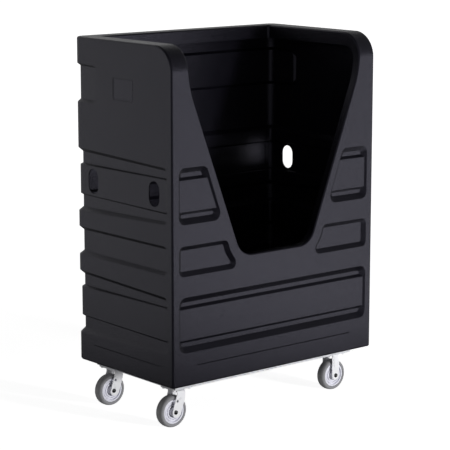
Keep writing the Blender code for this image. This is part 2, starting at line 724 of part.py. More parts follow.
def build_frame():
    reach = FRAME_HALF_DEPTH - RAIL_WIDTH - GAP
    for side, word in ((-1, "front"), (1, "rear")):
        outline = [(side * (FRAME_HALF_DEPTH - a), FRAME_BOTTOM + b) for a, b in
                   ((0, 0), (RAIL_WIDTH, 0), (RAIL_WIDTH, STEEL), (STEEL, STEEL),
                    (STEEL, FRAME_HEIGHT - STEEL), (RAIL_WIDTH, FRAME_HEIGHT - STEEL),
                    (RAIL_WIDTH, FRAME_HEIGHT), (0, FRAME_HEIGHT))]
        rail = prism(f"base_{word}_rail", outline, -FRAME_HALF_LENGTH, FRAME_HALF_LENGTH, "X", PARTS)
        tops = [spot for spot in plan_places(body_bolt_places()) if spot[1] * side > 0]
        cut(rail, hole_cutter(f"rail_top_holes_{word}", tops, BODY_BOLT_RADIUS + HOLE_CLEARANCE,
                              FRAME_TOP - FRAME_HEIGHT / 2, FRAME_TOP + MARGIN))
        feet = [spot for x in (SWIVEL_X, RIGID_X) for spot in caster_bolt_places(x)
                if spot[1] * side > reach]
        cut(rail, hole_cutter(f"rail_foot_holes_{word}", feet, CASTER_BOLT_RADIUS + HOLE_CLEARANCE,
                              FRAME_BOTTOM - MARGIN, FRAME_BOTTOM + 2 * STEEL))
        finish(rail, "galvanised_steel")

    channels = (
        ("left_caster_channel", SWIVEL_X, CASTER_CHANNEL_WIDTH, True),
        ("right_caster_channel", RIGID_X, CASTER_CHANNEL_WIDTH, True),
        ("centre_cross_channel", (SWIVEL_X + RIGID_X) / 2, CENTRE_CHANNEL_WIDTH, False),
    )
    for name, x, width, carries_caster in channels:
        outline = [(x + a, FRAME_BOTTOM + b) for a, b in channel_outline(width, FRAME_HEIGHT, STEEL)]
        channel = prism(name, outline, -reach, reach, "Y", PARTS)
        if carries_caster:
            cut(channel, hole_cutter(name + "_holes", caster_bolt_places(x),
                                     CASTER_BOLT_RADIUS + HOLE_CLEARANCE,
                                     FRAME_BOTTOM - MARGIN, FRAME_BOTTOM + 2 * STEEL))
        finish(channel, "galvanised_steel")


def plate_bolt_places():
    """Plan positions of the four bolts of one caster, about the plate's middle."""
    return [(a, b) for a in (-CASTER_BOLT_X, CASTER_BOLT_X) for b in (-CASTER_BOLT_Y, CASTER_BOLT_Y)]


def caster_bolt_places(x):
    return [(x + a, side * CASTER_SIDE + b) for side in (-1, 1) for a, b in plate_bolt_places()]


# Fasteners

def frozen_mesh(item):
    """The item's shape with its modifiers applied, as a mesh that copies can share."""
    bpy.context.view_layer.update()
    evaluated = item.evaluated_get(bpy.context.evaluated_depsgraph_get())
    return bpy.data.meshes.new_from_object(evaluated)


def bolt_with_nut(name, radius, head, nut, tip):
    """A bolt with its nut run on: head and nut are (radius, low, high), the shank ends at tip."""
    solid = bmesh.new()
    head_radius, head_low, head_high = head
    rod(solid, head_radius, head_low, head_high, 6, turn=math.radians(30))
    bolt = mesh_object(name, solid, CUTTERS)
    ends = sorted((tip, (head_low + head_high) / 2))
    shank = hole_cutter(name + "_shank", [(0, 0)], radius, *ends)
    solid = bmesh.new()
    rod(solid, nut[0], nut[1], nut[2], 6, turn=math.radians(30))
    return fuse(bolt, shank, mesh_object(name + "_nut", solid, CUTTERS))


def copies(mesh, finish_name, placed):
    """One object of the mesh for each (name, location), all of one finish."""
    for name, location in placed:
        item = link(bpy.data.objects.new(name, mesh), PARTS)
        place(item, location)
        if not mesh.materials:
            finish(item, finish_name)


def body_bolts():
    floor = TUB_BOTTOM + WALL + GAP
    under = FRAME_TOP - STEEL - GAP
    foot = under - BODY_NUT_HEIGHT
    quarter = arc((0, 0), BODY_BOLT_DOME, 90, 0, 3)
    dome = [(radius, floor + rise * DOME_FLATNESS) for radius, rise in quarter]
    dome[0] = (0, dome[0][1])
    profile = dome + [(BODY_BOLT_RADIUS, floor), (BODY_BOLT_RADIUS, under),
                      (BODY_NUT_RADIUS, under), (BODY_NUT_RADIUS, foot),
                      (BODY_BOLT_RADIUS, foot), (BODY_BOLT_RADIUS, foot - BOLT_TIP),
                      (0, foot - BOLT_TIP)]
    pattern = turned("body_bolt_pattern", profile, 8, collection=CUTTERS)
    placed = [("body_bolt_" + name, (x, y, 0)) for name, x, y in body_bolt_places()]
    copies(frozen_mesh(pattern), "bright_zinc", placed)


def caster_bolts(casters):
    under = PLATE_TOP - PLATE_THICKNESS - GAP
    over = FRAME_BOTTOM + STEEL + GAP
    pattern = bolt_with_nut("caster_bolt_pattern", CASTER_BOLT_RADIUS,
                            (CASTER_BOLT_HEAD, under - CASTER_BOLT_HEAD_HEIGHT, under),
                            (CASTER_BOLT_HEAD, over, over + CASTER_NUT_HEIGHT),
                            over + CASTER_NUT_HEIGHT + BOLT_TIP)
    placed = []
    for word, x, y in casters:
        for index, (a, b) in enumerate(plate_bolt_places()):
            placed.append((f"caster_bolt_{word}_{index + 1}", (x + a, y + b, 0)))
    copies(frozen_mesh(pattern), "bright_zinc", placed)


# Casters

ALONG_Y = (math.radians(90), math.radians(180 / WHEEL_STEPS), 0)    # turned axis onto -Y


def wheel(word, hub_centre, parent):
    """Tyre, hub core and roller bearing, which spin together about the axle."""
    spin = empty(f"wheel_{word}_axis", hub_centre, parent)
    half = WHEEL_WIDTH / 2
    rim = (HUB_RADIUS + GAP) / math.cos(math.pi / WHEEL_STEPS)
    tread = WHEEL_RADIUS / math.cos(math.pi / WHEEL_STEPS)
    tyre_profile = [(rim, half - TYRE_BEAD)]
    tyre_profile += [(tread - below, half - inward) for below, inward in TYRE_SECTION]
    tyre_profile += [(radius, -height) for radius, height in reversed(tyre_profile)]
    tyre = turned("tyre_" + word, tyre_profile, WHEEL_STEPS, closed=True)
    finish(place(tyre, rotation=ALONG_Y, parent=spin), "grey_rubber")

    edge = HUB_WIDTH / 2
    hub_profile = [(BEARING_OUTER + GAP, BOSS_HALF_LENGTH), (BOSS_RADIUS, BOSS_HALF_LENGTH),
                   *HUB_WEB, (HUB_RING, edge), (HUB_RADIUS, edge - HUB_RING_BEVEL)]
    hub_profile += [(radius, -height) for radius, height in reversed(hub_profile)]
    hub = turned("hub_" + word, hub_profile, HUB_STEPS, closed=True)
    finish(place(hub, rotation=ALONG_Y, parent=spin), "light_grey_plastic")

    inner = BUSHING_OUTER + SLIP_FIT
    sleeve = tube_section(inner, BEARING_OUTER, BEARING_HALF_LENGTH)
    bearing = turned("roller_bearing_" + word, sleeve, BEARING_STEPS, closed=True)
    finish(place(bearing, rotation=ALONG_Y, parent=spin), "dark_steel")


def tube_section(inner, outer, half_length):
    return [(inner, half_length), (outer, half_length), (outer, -half_length), (inner, -half_length)]


def axle(word, hub_centre, parent):
    """Clamped bushing, axle bolt and lock nut, which stay with the fork."""
    holder = empty(f"axle_{word}", hub_centre, parent)
    tube = tube_section(AXLE_RADIUS + SLIP_FIT, BUSHING_OUTER, FORK_INNER - GAP)
    bushing = turned("spanner_bushing_" + word, tube, AXLE_STEPS, closed=True)
    finish(place(bushing, rotation=ALONG_Y, parent=holder), "bright_zinc")

    face = FORK_INNER + FORK_STEEL + GAP
    head_top = face + AXLE_HEAD_HEIGHT
    tip = -face - AXLE_TAIL
    inward, down = AXLE_HEAD_BEVEL
    bolt_profile = [(0, head_top), (AXLE_HEAD_RADIUS - inward, head_top),
                    (AXLE_HEAD_RADIUS, head_top - down), (AXLE_HEAD_RADIUS, face),
                    (AXLE_RADIUS, face), (AXLE_RADIUS, tip + AXLE_TIP_BEVEL),
                    (AXLE_RADIUS - AXLE_TIP_BEVEL, tip), (0, tip)]
    bolt = turned("axle_bolt_" + word, bolt_profile, AXLE_STEPS)
    finish(place(bolt, rotation=ALONG_Y, parent=holder), "dark_steel")

    solid = bmesh.new()
    rod(solid, AXLE_NUT_RADIUS, -face - AXLE_NUT_HEIGHT, -face, 6)
    nut = mesh_object("axle_nut_" + word, solid, PARTS)
    threads = hole_cutter("axle_nut_bore_" + word, [(0, 0)], AXLE_RADIUS + HOLE_CLEARANCE,
                          -face - 2 * AXLE_NUT_HEIGHT, -face + AXLE_NUT_HEIGHT, AXLE_STEPS)
    cut(nut, threads)
    for item in (nut, threads):
        place(item, rotation=(math.radians(90), 0, 0), parent=holder)
    finish(nut, "bright_zinc")


def fork_shell(name, outline, top, inner_top):
    """A folded steel fork: a side outline carried across, hollowed out between its legs."""
    outer = FORK_INNER + FORK_STEEL
    fork = prism(name, outline, -outer, outer, "Y", PARTS)
    bevel = fork.modifiers.new("Bend", 'BEVEL')
    bevel.width = FORK_BEND
    bevel.segments = 2
    bevel.limit_method = 'WEIGHT'
    bevel.use_clamp_overlap = False
    weights = fork.data.attributes.new("bevel_weight_edge", 'FLOAT', 'EDGE')
    for edge in fork.data.edges:
        ends = [fork.data.vertices[index].co for index in edge.vertices]
        along_x = abs(ends[0].y - ends[1].y) < GAP
        if along_x and all(abs(end.z - top) < GAP for end in ends):
            weights.data[edge.index].value = 1.0
    reach = 2 * WHEEL_RADIUS
    inside = box(name + "_inside", (-reach, -FORK_INNER, -reach), (reach, FORK_INNER, inner_top))
    cut(fork, inside)
    return fork, inside


def plate_outline():
    x = PLATE_LENGTH / 2
    y = PLATE_WIDTH / 2
    return rounded([(-x, -y, PLATE_CORNER), (x, -y, PLATE_CORNER), (x, y, PLATE_CORNER),
                    (-x, y, PLATE_CORNER)], 30)


def plate_holes(name):
    """Cutter for the four bolt holes of a caster's top plate."""
    return hole_cutter(name, plate_bolt_places(), CASTER_BOLT_RADIUS + HOLE_CLEARANCE,
                       PLATE_TOP - PLATE_THICKNESS - BOLT_HOLE_REACH, PLATE_TOP + MARGIN)


def bore_through(name, radius, x, z, steps=12):
    """Cutter across both legs of a fork."""
    outline = arc((x, z), radius, 0, 360 - 360 / steps, steps - 1)
    return prism(name, outline, -2 * MARGIN, 2 * MARGIN, "Y")


def swivel_caster(word, side):
    """Everything of one swivel caster, about the king bolt's axis."""
    y = side * CASTER_SIDE
    mount = empty(f"swivel_mount_{word}", (SWIVEL_X, y, 0))
    turn = empty(f"swivel_axis_{word}", (SWIVEL_X, y, 0))
    axle_point = (-SWIVEL_TRAIL, 0, WHEEL_RADIUS)

    # Top plate with the race dish pressed under it, and the ring of balls in the dish
    plate_low = PLATE_TOP - PLATE_THICKNESS
    plate = prism(f"top_plate_{word}", plate_outline(), plate_low, PLATE_TOP, "Z", PARTS)
    dish_low = plate_low - RACE_DROP
    dish_roof = dish_low + RACE_LIP
    dish_head = plate_low + RACE_FUSE
    hole = KING_RADIUS + HOLE_CLEARANCE
    dish_inner = hole + RACE_FUSE
    dish_profile = [(dish_inner, dish_head), (RACE_RADIUS - RACE_LIP, dish_head),
                    (RACE_RADIUS, plate_low - RACE_LIP), (RACE_RADIUS, dish_low),
                    (RACE_RADIUS - RACE_LIP, dish_low),
                    (RACE_RADIUS - RACE_LIP - RACE_FUSE, dish_roof), (dish_inner, dish_roof)]
    dish = turned(f"race_dish_{word}", dish_profile, RACE_STEPS, closed=True, collection=CUTTERS)
    holes = plate_holes(f"plate_holes_{word}")
    king_hole = hole_cutter(f"plate_king_hole_{word}", [(0, 0)], hole,
                            plate_low - MARGIN, PLATE_TOP + MARGIN, KING_STEPS)
    fuse(plate, dish)
    cut(plate, holes, king_hole)
    for item in (plate, dish, holes, king_hole):
        item.parent = mount
    finish(plate, "bright_zinc")

    ball_height = (dish_roof + CROWN_TOP) / 2
    ring = arc((BALL_CIRCLE, ball_height), BALL_RADIUS, 90, -210, 5)
    balls = turned(f"ball_ring_{word}", ring, RACE_STEPS, closed=True)
    finish(place(balls, parent=turn), "dark_steel")

    # Fork, leaning from the crown down to the trailing axle
    ax, az = -SWIVEL_TRAIL, WHEEL_RADIUS
    skirt_foot = CROWN_TOP - CROWN_SKIRT
    foot_centre = (ax + SWIVEL_FOOT_SHIFT[0], az + SWIVEL_FOOT_SHIFT[1])
    outline = arc(foot_centre, SWIVEL_FOOT_RADIUS, 180 + LEG_LEAN, 360 + LEG_LEAN, 9)
    outline += [(a, az + b) for a, b in LEG_BACK]
    outline += [(CROWN_HALF_LENGTH, CROWN_TOP), (-CROWN_HALF_LENGTH, CROWN_TOP),
                (-CROWN_HALF_LENGTH, skirt_foot)]
    fork, inside = fork_shell(f"swivel_fork_{word}", outline, CROWN_TOP, CROWN_TOP - FORK_STEEL)
    king_bore = hole_cutter(f"crown_hole_{word}", [(0, 0)], KING_RADIUS + HOLE_CLEARANCE,
                            CROWN_TOP - MARGIN, CROWN_TOP + MARGIN, KING_STEPS)
    axle_bore = bore_through(f"fork_axle_bore_{word}", AXLE_RADIUS + HOLE_CLEARANCE, ax, az)
    sight_hole = bore_through(f"fork_sight_hole_{word}", SIGHT_HOLE_RADIUS,
                              ax + SIGHT_HOLE_SHIFT[0], az + SIGHT_HOLE_SHIFT[1], 8)
    cut(fork, king_bore, axle_bore, sight_hole)
    for item in (fork, inside, king_bore, axle_bore, sight_hole):
        item.parent = turn
    finish(fork, "bright_zinc")

    # King bolt through plate, race and crown
    end = PLATE_TOP - GAP
    head = CROWN_TOP - FORK_STEEL - 2 * GAP
    foot = head - KING_HEAD_HEIGHT
    king_profile = [(0, end), (KING_RADIUS, end), (KING_RADIUS, head), (KING_HEAD_RADIUS, head),
                    (KING_HEAD_RADIUS, foot), (0, foot)]
    king = turned(f"king_bolt_{word}", king_profile, KING_STEPS)
    finish(place(king, parent=mount), "bright_zinc")

    wheel(word, axle_point, turn)
    axle(word, axle_point, turn)


def rigid_caster(word, side):
    """Everything of one rigid caster, about the point on the ground under its axle."""
    y = side * CASTER_SIDE
    mount = empty(f"rigid_mount_{word}", (RIGID_X, y, 0))
    plate_low = PLATE_TOP - PLATE_THICKNESS

    top = plate_low + PLATE_THICKNESS / 2
    outline = arc((0, WHEEL_RADIUS), LEG_FOOT_RADIUS, 180, 360, 9)
    outline += [(LEG_FOOT_RADIUS, top), (-LEG_FOOT_RADIUS, top)]
    fork, inside = fork_shell(f"rigid_fork_{word}", outline, top, plate_low - WELD_DEPTH)
    plate = prism(f"rigid_plate_{word}", plate_outline(), plate_low, PLATE_TOP)
    ribs = leg_ribs(word)
    fuse(fork, plate, *ribs)
    holes = plate_holes(f"rigid_plate_holes_{word}")
    axle_bore = bore_through(f"rigid_axle_bore_{word}", AXLE_RADIUS + HOLE_CLEARANCE, 0, WHEEL_RADIUS)
    cut(fork, holes, axle_bore)
    for item in (fork, inside, plate, holes, axle_bore, *ribs):
        item.parent = mount
    finish(fork, "bright_zinc")

    axle_point = (0, 0, WHEEL_RADIUS)
    wheel(word, axle_point, mount)
    axle(word, axle_point, mount)


def leg_ribs(word):
    """The pressed U shaped rib on the outside of each leg."""
    ribs = []
    low = WHEEL_RADIUS + RIB_FOOT
    high = PLATE_TOP - PLATE_THICKNESS - RIB_HEADROOM
    outline = arc((0, low), RIB_HALF_WIDTH, 180, 360, 6)
    outline += [(RIB_HALF_WIDTH, high), (-RIB_HALF_WIDTH, high)]
    for side, name in ((-1, "near"), (1, "far")):
        face = side * (FORK_INNER + FORK_STEEL)
        inner, outer = sorted((face - side * RIB_ROOT, face + side * RIB_RISE))
        ribs.append(prism(f"leg_rib_{name}_{word}", outline, inner, outer, "Y"))
    return ribs


def build():
    clear_scene()
    build_frame()
    body_bolts()
    casters = []
    for row, side in (("front", -1), ("rear", 1)):
        swivel_caster(row + "_left", side)
        rigid_caster(row + "_right", side)
        casters.append((row + "_left", SWIVEL_X, side * CASTER_SIDE))
        casters.append((row + "_right", RIGID_X, side * CASTER_SIDE))
    caster_bolts(casters)
    build_tub()
    bpy.context.view_layer.update()


build()
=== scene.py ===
import json
import math

import bmesh
import bpy
from mathutils import Matrix, Vector


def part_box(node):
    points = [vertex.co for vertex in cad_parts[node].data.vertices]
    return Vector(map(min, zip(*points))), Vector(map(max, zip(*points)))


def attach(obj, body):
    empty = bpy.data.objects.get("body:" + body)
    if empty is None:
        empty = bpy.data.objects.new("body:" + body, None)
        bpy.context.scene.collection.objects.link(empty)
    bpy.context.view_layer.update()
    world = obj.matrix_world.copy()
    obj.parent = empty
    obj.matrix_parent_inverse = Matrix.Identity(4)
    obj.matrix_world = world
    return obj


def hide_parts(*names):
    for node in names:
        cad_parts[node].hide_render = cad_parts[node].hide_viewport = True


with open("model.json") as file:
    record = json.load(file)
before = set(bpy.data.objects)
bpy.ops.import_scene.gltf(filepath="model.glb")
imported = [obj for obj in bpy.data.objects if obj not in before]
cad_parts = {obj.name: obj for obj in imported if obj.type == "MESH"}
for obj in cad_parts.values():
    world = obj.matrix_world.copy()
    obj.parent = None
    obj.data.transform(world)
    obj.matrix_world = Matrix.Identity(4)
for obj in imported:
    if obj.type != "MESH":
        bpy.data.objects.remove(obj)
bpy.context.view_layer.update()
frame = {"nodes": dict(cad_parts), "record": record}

bodyOfNode = {}
for bodyName, members in frame["record"]["behaviour"]["bodies"].items():
    for member in members:
        bodyOfNode[member] = bodyName
scene = bpy.context.scene
print("frame loaded:", len(frame["nodes"]), "nodes")


# small helpers for node trees

def startMaterial(name):
    material = bpy.data.materials.new(name)
    material.use_nodes = True
    return material, material.node_tree, material.node_tree.nodes["Principled BSDF"]


def addNode(tree, kind, inputs=None, **settings):
    # an input is a plain value, or the output of another node
    node = tree.nodes.new(kind)
    for key, value in settings.items():
        setattr(node, key, value)
    for key, value in (inputs or {}).items():
        if isinstance(value, bpy.types.NodeSocket):
            tree.links.new(value, node.inputs[key])
        else:
            node.inputs[key].default_value = value
    return node


def noiseNode(tree, vector, scale, detail, roughness):
    inputs = {"Vector": vector, "Scale": scale, "Detail": detail, "Roughness": roughness}
    return addNode(tree, "ShaderNodeTexNoise", inputs).outputs[0]


def remap(tree, value, low, high, newLow, newHigh):
    inputs = {0: value, 1: low, 2: high, 3: newLow, 4: newHigh}
    return addNode(tree, "ShaderNodeMapRange", inputs).outputs[0]


def mixColour(tree, factor, first, second):
    first, second = ((*colour, 1.0) if isinstance(colour, tuple) else colour
                     for colour in (first, second))
    return addNode(tree, "ShaderNodeMix", {0: factor, 6: first, 7: second},
                   data_type="RGBA").outputs[2]


def mixNumber(tree, factor, first, second):
    return addNode(tree, "ShaderNodeMix", {0: factor, 2: first, 3: second},
                   data_type="FLOAT").outputs[0]


def mathNode(tree, operation, first, *others):
    for other in others:
        first = addNode(tree, "ShaderNodeMath", {0: first, 1: other}, operation=operation).outputs[0]
    return first


def bumpNode(tree, height, strength, distance, before=None):
    inputs = {"Height": height, "Strength": strength, "Distance": distance}
    if before is not None:
        inputs["Normal"] = before
    return addNode(tree, "ShaderNodeBump", inputs).outputs[0]


def objectPoint(tree):
    return addNode(tree, "ShaderNodeTexCoord").outputs["Object"]


def stretched(tree, vector, scale):
    return addNode(tree, "ShaderNodeMapping", {"Vector": vector, "Scale": scale}).outputs[0]


def vectorLength(tree, vector):
    return addNode(tree, "ShaderNodeVectorMath", {0: vector}, operation="LENGTH").outputs["Value"]


def vectorDot(tree, vector, other):
    return addNode(tree, "ShaderNodeVectorMath", {0: vector, 1: other},
                   operation="DOT_PRODUCT").outputs["Value"]


def dressShader(tree, shader, colour, roughness, normal):
    for socket, output in (("Base Color", colour), ("Roughness", roughness), ("Normal", normal)):
        tree.links.new(output, shader.inputs[socket])


# In the looks below a noise is (scale, detail, roughness), a bump is (strength, height in metres),
# and a span is (where it starts, where it ends, its value before, its value after).

# moulded black plastic: fine pebble grain, soft sheen, faint flow marks and a few pale scuffs
plasticLook = {
    "colour": (0.0026, 0.0024, 0.0040), "worn": (0.0046, 0.0044, 0.0066),
    "scuff": (0.028, 0.028, 0.034), "sheen": (0.80, 0.78, 1.0),
    "cloud": (3.5, 4.0, 0.55), "roughSpan": (0.3, 0.7, 0.20, 0.26),
    "blotch": (85.0, 3.0, 0.6), "blotchSpan": (0.18, 0.38, 0.0, 1.0),
    "streak": (1.0, 5.0, 0.65), "streakStretch": (9.0, 9.0, 160.0),
    "streakSpan": (0.70, 0.78, 0.0, 1.0),
    "patch": (5.0, 2.0, 0.5), "patchSpan": (0.56, 0.70, 0.0, 0.55),
    "flow": (7.0, 2.0, 0.5), "flowBump": (0.25, 0.0010),
    "mottle": (170.0, 1.0, 0.5), "mottleBump": (0.55, 0.0018),
    "pebble": (330.0, 2.0, 0.55), "pebbleBump": (0.55, 0.0021),
}


def mouldedPlastic(name, look):
    material, tree, shader = startMaterial(name)
    point = objectPoint(tree)
    cloud = noiseNode(tree, point, *look["cloud"])
    blotch = mathNode(tree, "MULTIPLY", cloud, noiseNode(tree, point, *look["blotch"]))
    colour = mixColour(tree, remap(tree, blotch, *look["blotchSpan"]), look["colour"], look["worn"])
    # scuffs run mostly level, as other carts rub along the walls
    streak = noiseNode(tree, stretched(tree, point, look["streakStretch"]), *look["streak"])
    patch = noiseNode(tree, point, *look["patch"])
    scuffs = mathNode(tree, "MULTIPLY", remap(tree, streak, *look["streakSpan"]),
                      remap(tree, patch, *look["patchSpan"]))
    colour = mixColour(tree, scuffs, colour, look["scuff"])
    grain = None
    for layer in ("flow", "mottle", "pebble"):
        height = noiseNode(tree, point, *look[layer])
        grain = bumpNode(tree, height, *look[layer + "Bump"], grain)
    dressShader(tree, shader, colour, remap(tree, cloud, *look["roughSpan"]), grain)
    shader.inputs["Specular Tint"].default_value = (*look["sheen"], 1.0)
    return material


# plated and galvanised steel
steelLooks = {
    "bright_zinc": {
        "colour": (0.95, 0.95, 0.97), "tint": (0.90, 0.90, 0.94), "dirt": (0.42, 0.42, 0.44),
        "metal": 0.20, "grain": 240.0, "roughSpan": (0.2, 0.8, 0.28, 0.42),
    },
    "galvanised_steel": {
        "colour": (0.82, 0.83, 0.86), "tint": (0.70, 0.71, 0.75), "dirt": (0.40, 0.40, 0.41),
        "metal": 0.40, "grain": 70.0, "roughSpan": (0.2, 0.8, 0.36, 0.52),
    },
    "dark_steel": {
        "colour": (0.16, 0.16, 0.17), "tint": (0.08, 0.08, 0.09), "dirt": (0.020, 0.019, 0.018),
        "metal": 0.9, "grain": 300.0, "roughSpan": (0.2, 0.8, 0.32, 0.50),
    },
}
steelWear = {
    "stretch": (1.0, 1.0, 0.12), "detail": 3.0, "roughness": 0.6,
    "grime": (38.0, 5.0, 0.65), "grimeSpan": (0.56, 0.74, 0.0, 0.6), "bump": (0.12, 0.0003),
}


def platedSteel(name, look, spangle=False):
    material, tree, shader = startMaterial(name)
    point = objectPoint(tree)
    if spangle:
        cells = addNode(tree, "ShaderNodeTexVoronoi", {"Vector": point, "Scale": look["grain"]})
        pattern = addNode(tree, "ShaderNodeSeparateColor", {0: cells.outputs["Color"]}).outputs[0]
    else:
        pattern = noiseNode(tree, stretched(tree, point, steelWear["stretch"]),
                            look["grain"], steelWear["detail"], steelWear["roughness"])
    colour = mixColour(tree, pattern, look["colour"], look["tint"])
    grime = remap(tree, noiseNode(tree, point, *steelWear["grime"]), *steelWear["grimeSpan"])
    colour = mixColour(tree, grime, colour, look["dirt"])
    dressShader(tree, shader, colour, remap(tree, pattern, *look["roughSpan"]),
                bumpNode(tree, pattern, *steelWear["bump"]))
    shader.inputs["Metallic"].default_value = look["metal"]
    return material


def axleRadius(tree, point):
    # a wheel's pieces turn about their own Z
    return vectorLength(tree, stretched(tree, point, (1.0, 1.0, 0.0)))


# grey non-marking tread, dusty where it rolls
tyreLook = {
    "colour": (0.250, 0.250, 0.262), "dust": (0.380, 0.378, 0.382),
    "wear": (30.0, 3.0, 0.5), "wearSpan": (0.40, 0.65, 0.1, 0.9),
    "treadSpan": (0.0722, 0.0762, 0.0, 1.0),
    "speckle": (260.0, 4.0, 0.6), "speckleSpan": (0.62, 0.75, 0.0, 0.25),
    "roughSpan": (0.3, 0.7, 0.55, 0.78), "bump": (0.35, 0.0003),
}


def treadRubber(name, look):
    material, tree, shader = startMaterial(name)
    point = objectPoint(tree)
    speckle = noiseNode(tree, point, *look["speckle"])
    wear = noiseNode(tree, point, *look["wear"])
    rolled = remap(tree, axleRadius(tree, point), *look["treadSpan"])
    dust = mathNode(tree, "MULTIPLY", remap(tree, wear, *look["wearSpan"]), rolled)
    dust = mathNode(tree, "ADD", dust, remap(tree, speckle, *look["speckleSpan"]))
    colour = mixColour(tree, dust, look["colour"], look["dust"])
    dressShader(tree, shader, colour, remap(tree, speckle, *look["roughSpan"]),
                bumpNode(tree, speckle, *look["bump"]))
    return material


# pale moulded wheel core, with grease creeping out from the bearing
coreLook = {
    "colour": (0.74, 0.74, 0.81), "shade": (0.66, 0.66, 0.73), "grease": (0.16, 0.16, 0.17),
    "cloud": (45.0, 3.0, 0.5), "cloudSpan": (0.35, 0.65, 0.0, 1.0),
    "greaseSpan": (0.014, 0.026, 0.75, 0.0), "patchSpan": (0.35, 0.6, 0.3, 1.0),
    "speck": (420.0, 2.0, 0.5), "roughSpan": (0.3, 0.7, 0.34, 0.50), "bump": (0.15, 0.0002),
}


def corePlastic(name, look):
    material, tree, shader = startMaterial(name)
    point = objectPoint(tree)
    cloud = noiseNode(tree, point, *look["cloud"])
    speck = noiseNode(tree, point, *look["speck"])
    colour = mixColour(tree, remap(tree, cloud, *look["cloudSpan"]), look["colour"], look["shade"])
    greasy = mathNode(tree, "MULTIPLY", remap(tree, axleRadius(tree, point), *look["greaseSpan"]),
                      remap(tree, cloud, *look["patchSpan"]))
    colour = mixColour(tree, greasy, colour, look["grease"])
    dressShader(tree, shader, colour, remap(tree, speck, *look["roughSpan"]),
                bumpNode(tree, speck, *look["bump"]))
    return material


finishes = {
    "black_polyethylene": mouldedPlastic("blackPolyethylene", plasticLook),
    "galvanised_steel": platedSteel("galvanisedSteel", steelLooks["galvanised_steel"], spangle=True),
    "bright_zinc": platedSteel("brightZinc", steelLooks["bright_zinc"]),
    "dark_steel": platedSteel("darkSteel", steelLooks["dark_steel"]),
    "grey_rubber": treadRubber("greyRubber", tyreLook),
    "light_grey_plastic": corePlastic("wheelCorePlastic", coreLook),
}
print("materials made:", len(finishes))


# outlines

def arcPoints(centre, radius, start, end, steps):
    points = []
    for step in range(steps + 1):
        angle = math.radians(start + (end - start) * step / steps)
        points.append((centre[0] + radius * math.cos(angle), centre[1] + radius * math.sin(angle)))
    return points


def roundCorners(corners, degreesPerStep=7.5):
    outline = []
    for index, (a, b, radius) in enumerate(corners):
        before = corners[index - 1]
        after = corners[(index + 1) % len(corners)]
        if radius <= 0:
            outline.append((a, b))
            continue
        toBefore = math.atan2(before[1] - b, before[0] - a)
        toAfter = math.atan2(after[1] - b, after[0] - a)
        opening = (toAfter - toBefore + math.pi) % (2 * math.pi) - math.pi
        half = abs(opening) / 2
        reach = radius / math.sin(half)
        middle = toBefore + opening / 2
        centre = (a + reach * math.cos(middle), b + reach * math.sin(middle))
        side = 1 if opening > 0 else -1
        start = math.degrees(toBefore) - 90 * side
        turn = math.degrees(math.pi - 2 * half) * -side
        steps = max(1, round(abs(turn) / degreesPerStep))
        outline += arcPoints(centre, radius, start, start + turn, steps)
    return outline


def edgeNormal(start, end, side):
    along = (end[0] - start[0], end[1] - start[1])
    length = math.hypot(*along)
    return (along[1] / length * side, -along[0] / length * side)


def offsetLoop(outline, distance):
    area = sum(a[0] * b[1] - b[0] * a[1] for a, b in zip(outline, outline[1:] + outline[:1]))
    side = 1 if area > 0 else -1
    result = []
    for index, (a, b) in enumerate(outline):
        first = edgeNormal(outline[index - 1], (a, b), side)
        second = edgeNormal((a, b), outline[(index + 1) % len(outline)], side)
        spread = 1 + first[0] * second[0] + first[1] * second[1]
        result.append((a + distance * (first[0] + second[0]) / spread,
                       b + distance * (first[1] + second[1]) / spread))
    return result


def offsetLine(points, distance):
    # an open line moved deeper into the wall; the second number of each point is its depth
    side = -1 if points[-1][0] > points[0][0] else 1
    normals = [edgeNormal(a, b, side) for a, b in zip(points, points[1:])]
    normals = [normals[0]] + normals + [normals[-1]]
    moved = []
    for (a, b), first, second in zip(points, normals, normals[1:]):
        spread = 1 + first[0] * second[0] + first[1] * second[1]
        moved.append((a + distance * (first[0] + second[0]) / spread,
                      b + distance * (first[1] + second[1]) / spread))
    return moved


def easeCorners(points, proud, hollow):
    # every inner corner of an open line becomes a short curve: proud ones stand out of the wall
    travel = 1 if points[-1][0] > points[0][0] else -1
    steps, share = 4, 0.42               # share: the most that a curve takes of a side
    result = []
    for before, here, after in zip(points, points[1:], points[2:]):
        run = Vector((here[0] - before[0], here[1] - before[1]))
        go = Vector((after[0] - here[0], after[1] - here[1]))
        turn = (run.x * go.y - run.y * go.x) * travel
        setback = min(proud if turn > 0 else hollow, share * run.length, share * go.length)
        first = Vector(here) - run.normalized() * setback
        last = Vector(here) + go.normalized() * setback
        for step in range(steps + 1):
            t = step / steps
            spot = first * (1 - t) ** 2 + Vector(here) * (2 * t * (1 - t)) + last * t ** 2
            result.append((spot.x, spot.y))
    return result


# solids

def meshPiece(name, solid):
    mesh = bpy.data.meshes.new(name)
    solid.to_mesh(mesh)
    solid.free()
    piece = bpy.data.objects.new(name, mesh)
    scene.collection.objects.link(piece)
    return piece


def loftSolid(name, rings, looped=False):
    solid = bmesh.new()
    loops = [[solid.verts.new(point) for point in ring] for ring in rings]
    pairs = list(zip(loops, loops[1:])) + ([(loops[-1], loops[0])] if looped else [])
    for near, far in pairs:
        for index in range(len(near)):
            following = (index + 1) % len(near)
            solid.faces.new((near[index], near[following], far[following], far[index]))
    if not looped:
        solid.faces.new(loops[0])
        solid.faces.new(loops[-1])
    bmesh.ops.recalc_face_normals(solid, faces=solid.faces)
    return meshPiece(name, solid)


def placed(outline, level, axis):
    if axis == "X":
        return [(level, a, b) for a, b in outline]
    if axis == "Y":
        return [(a, level, b) for a, b in outline]
    return [(a, b, level) for a, b in outline]


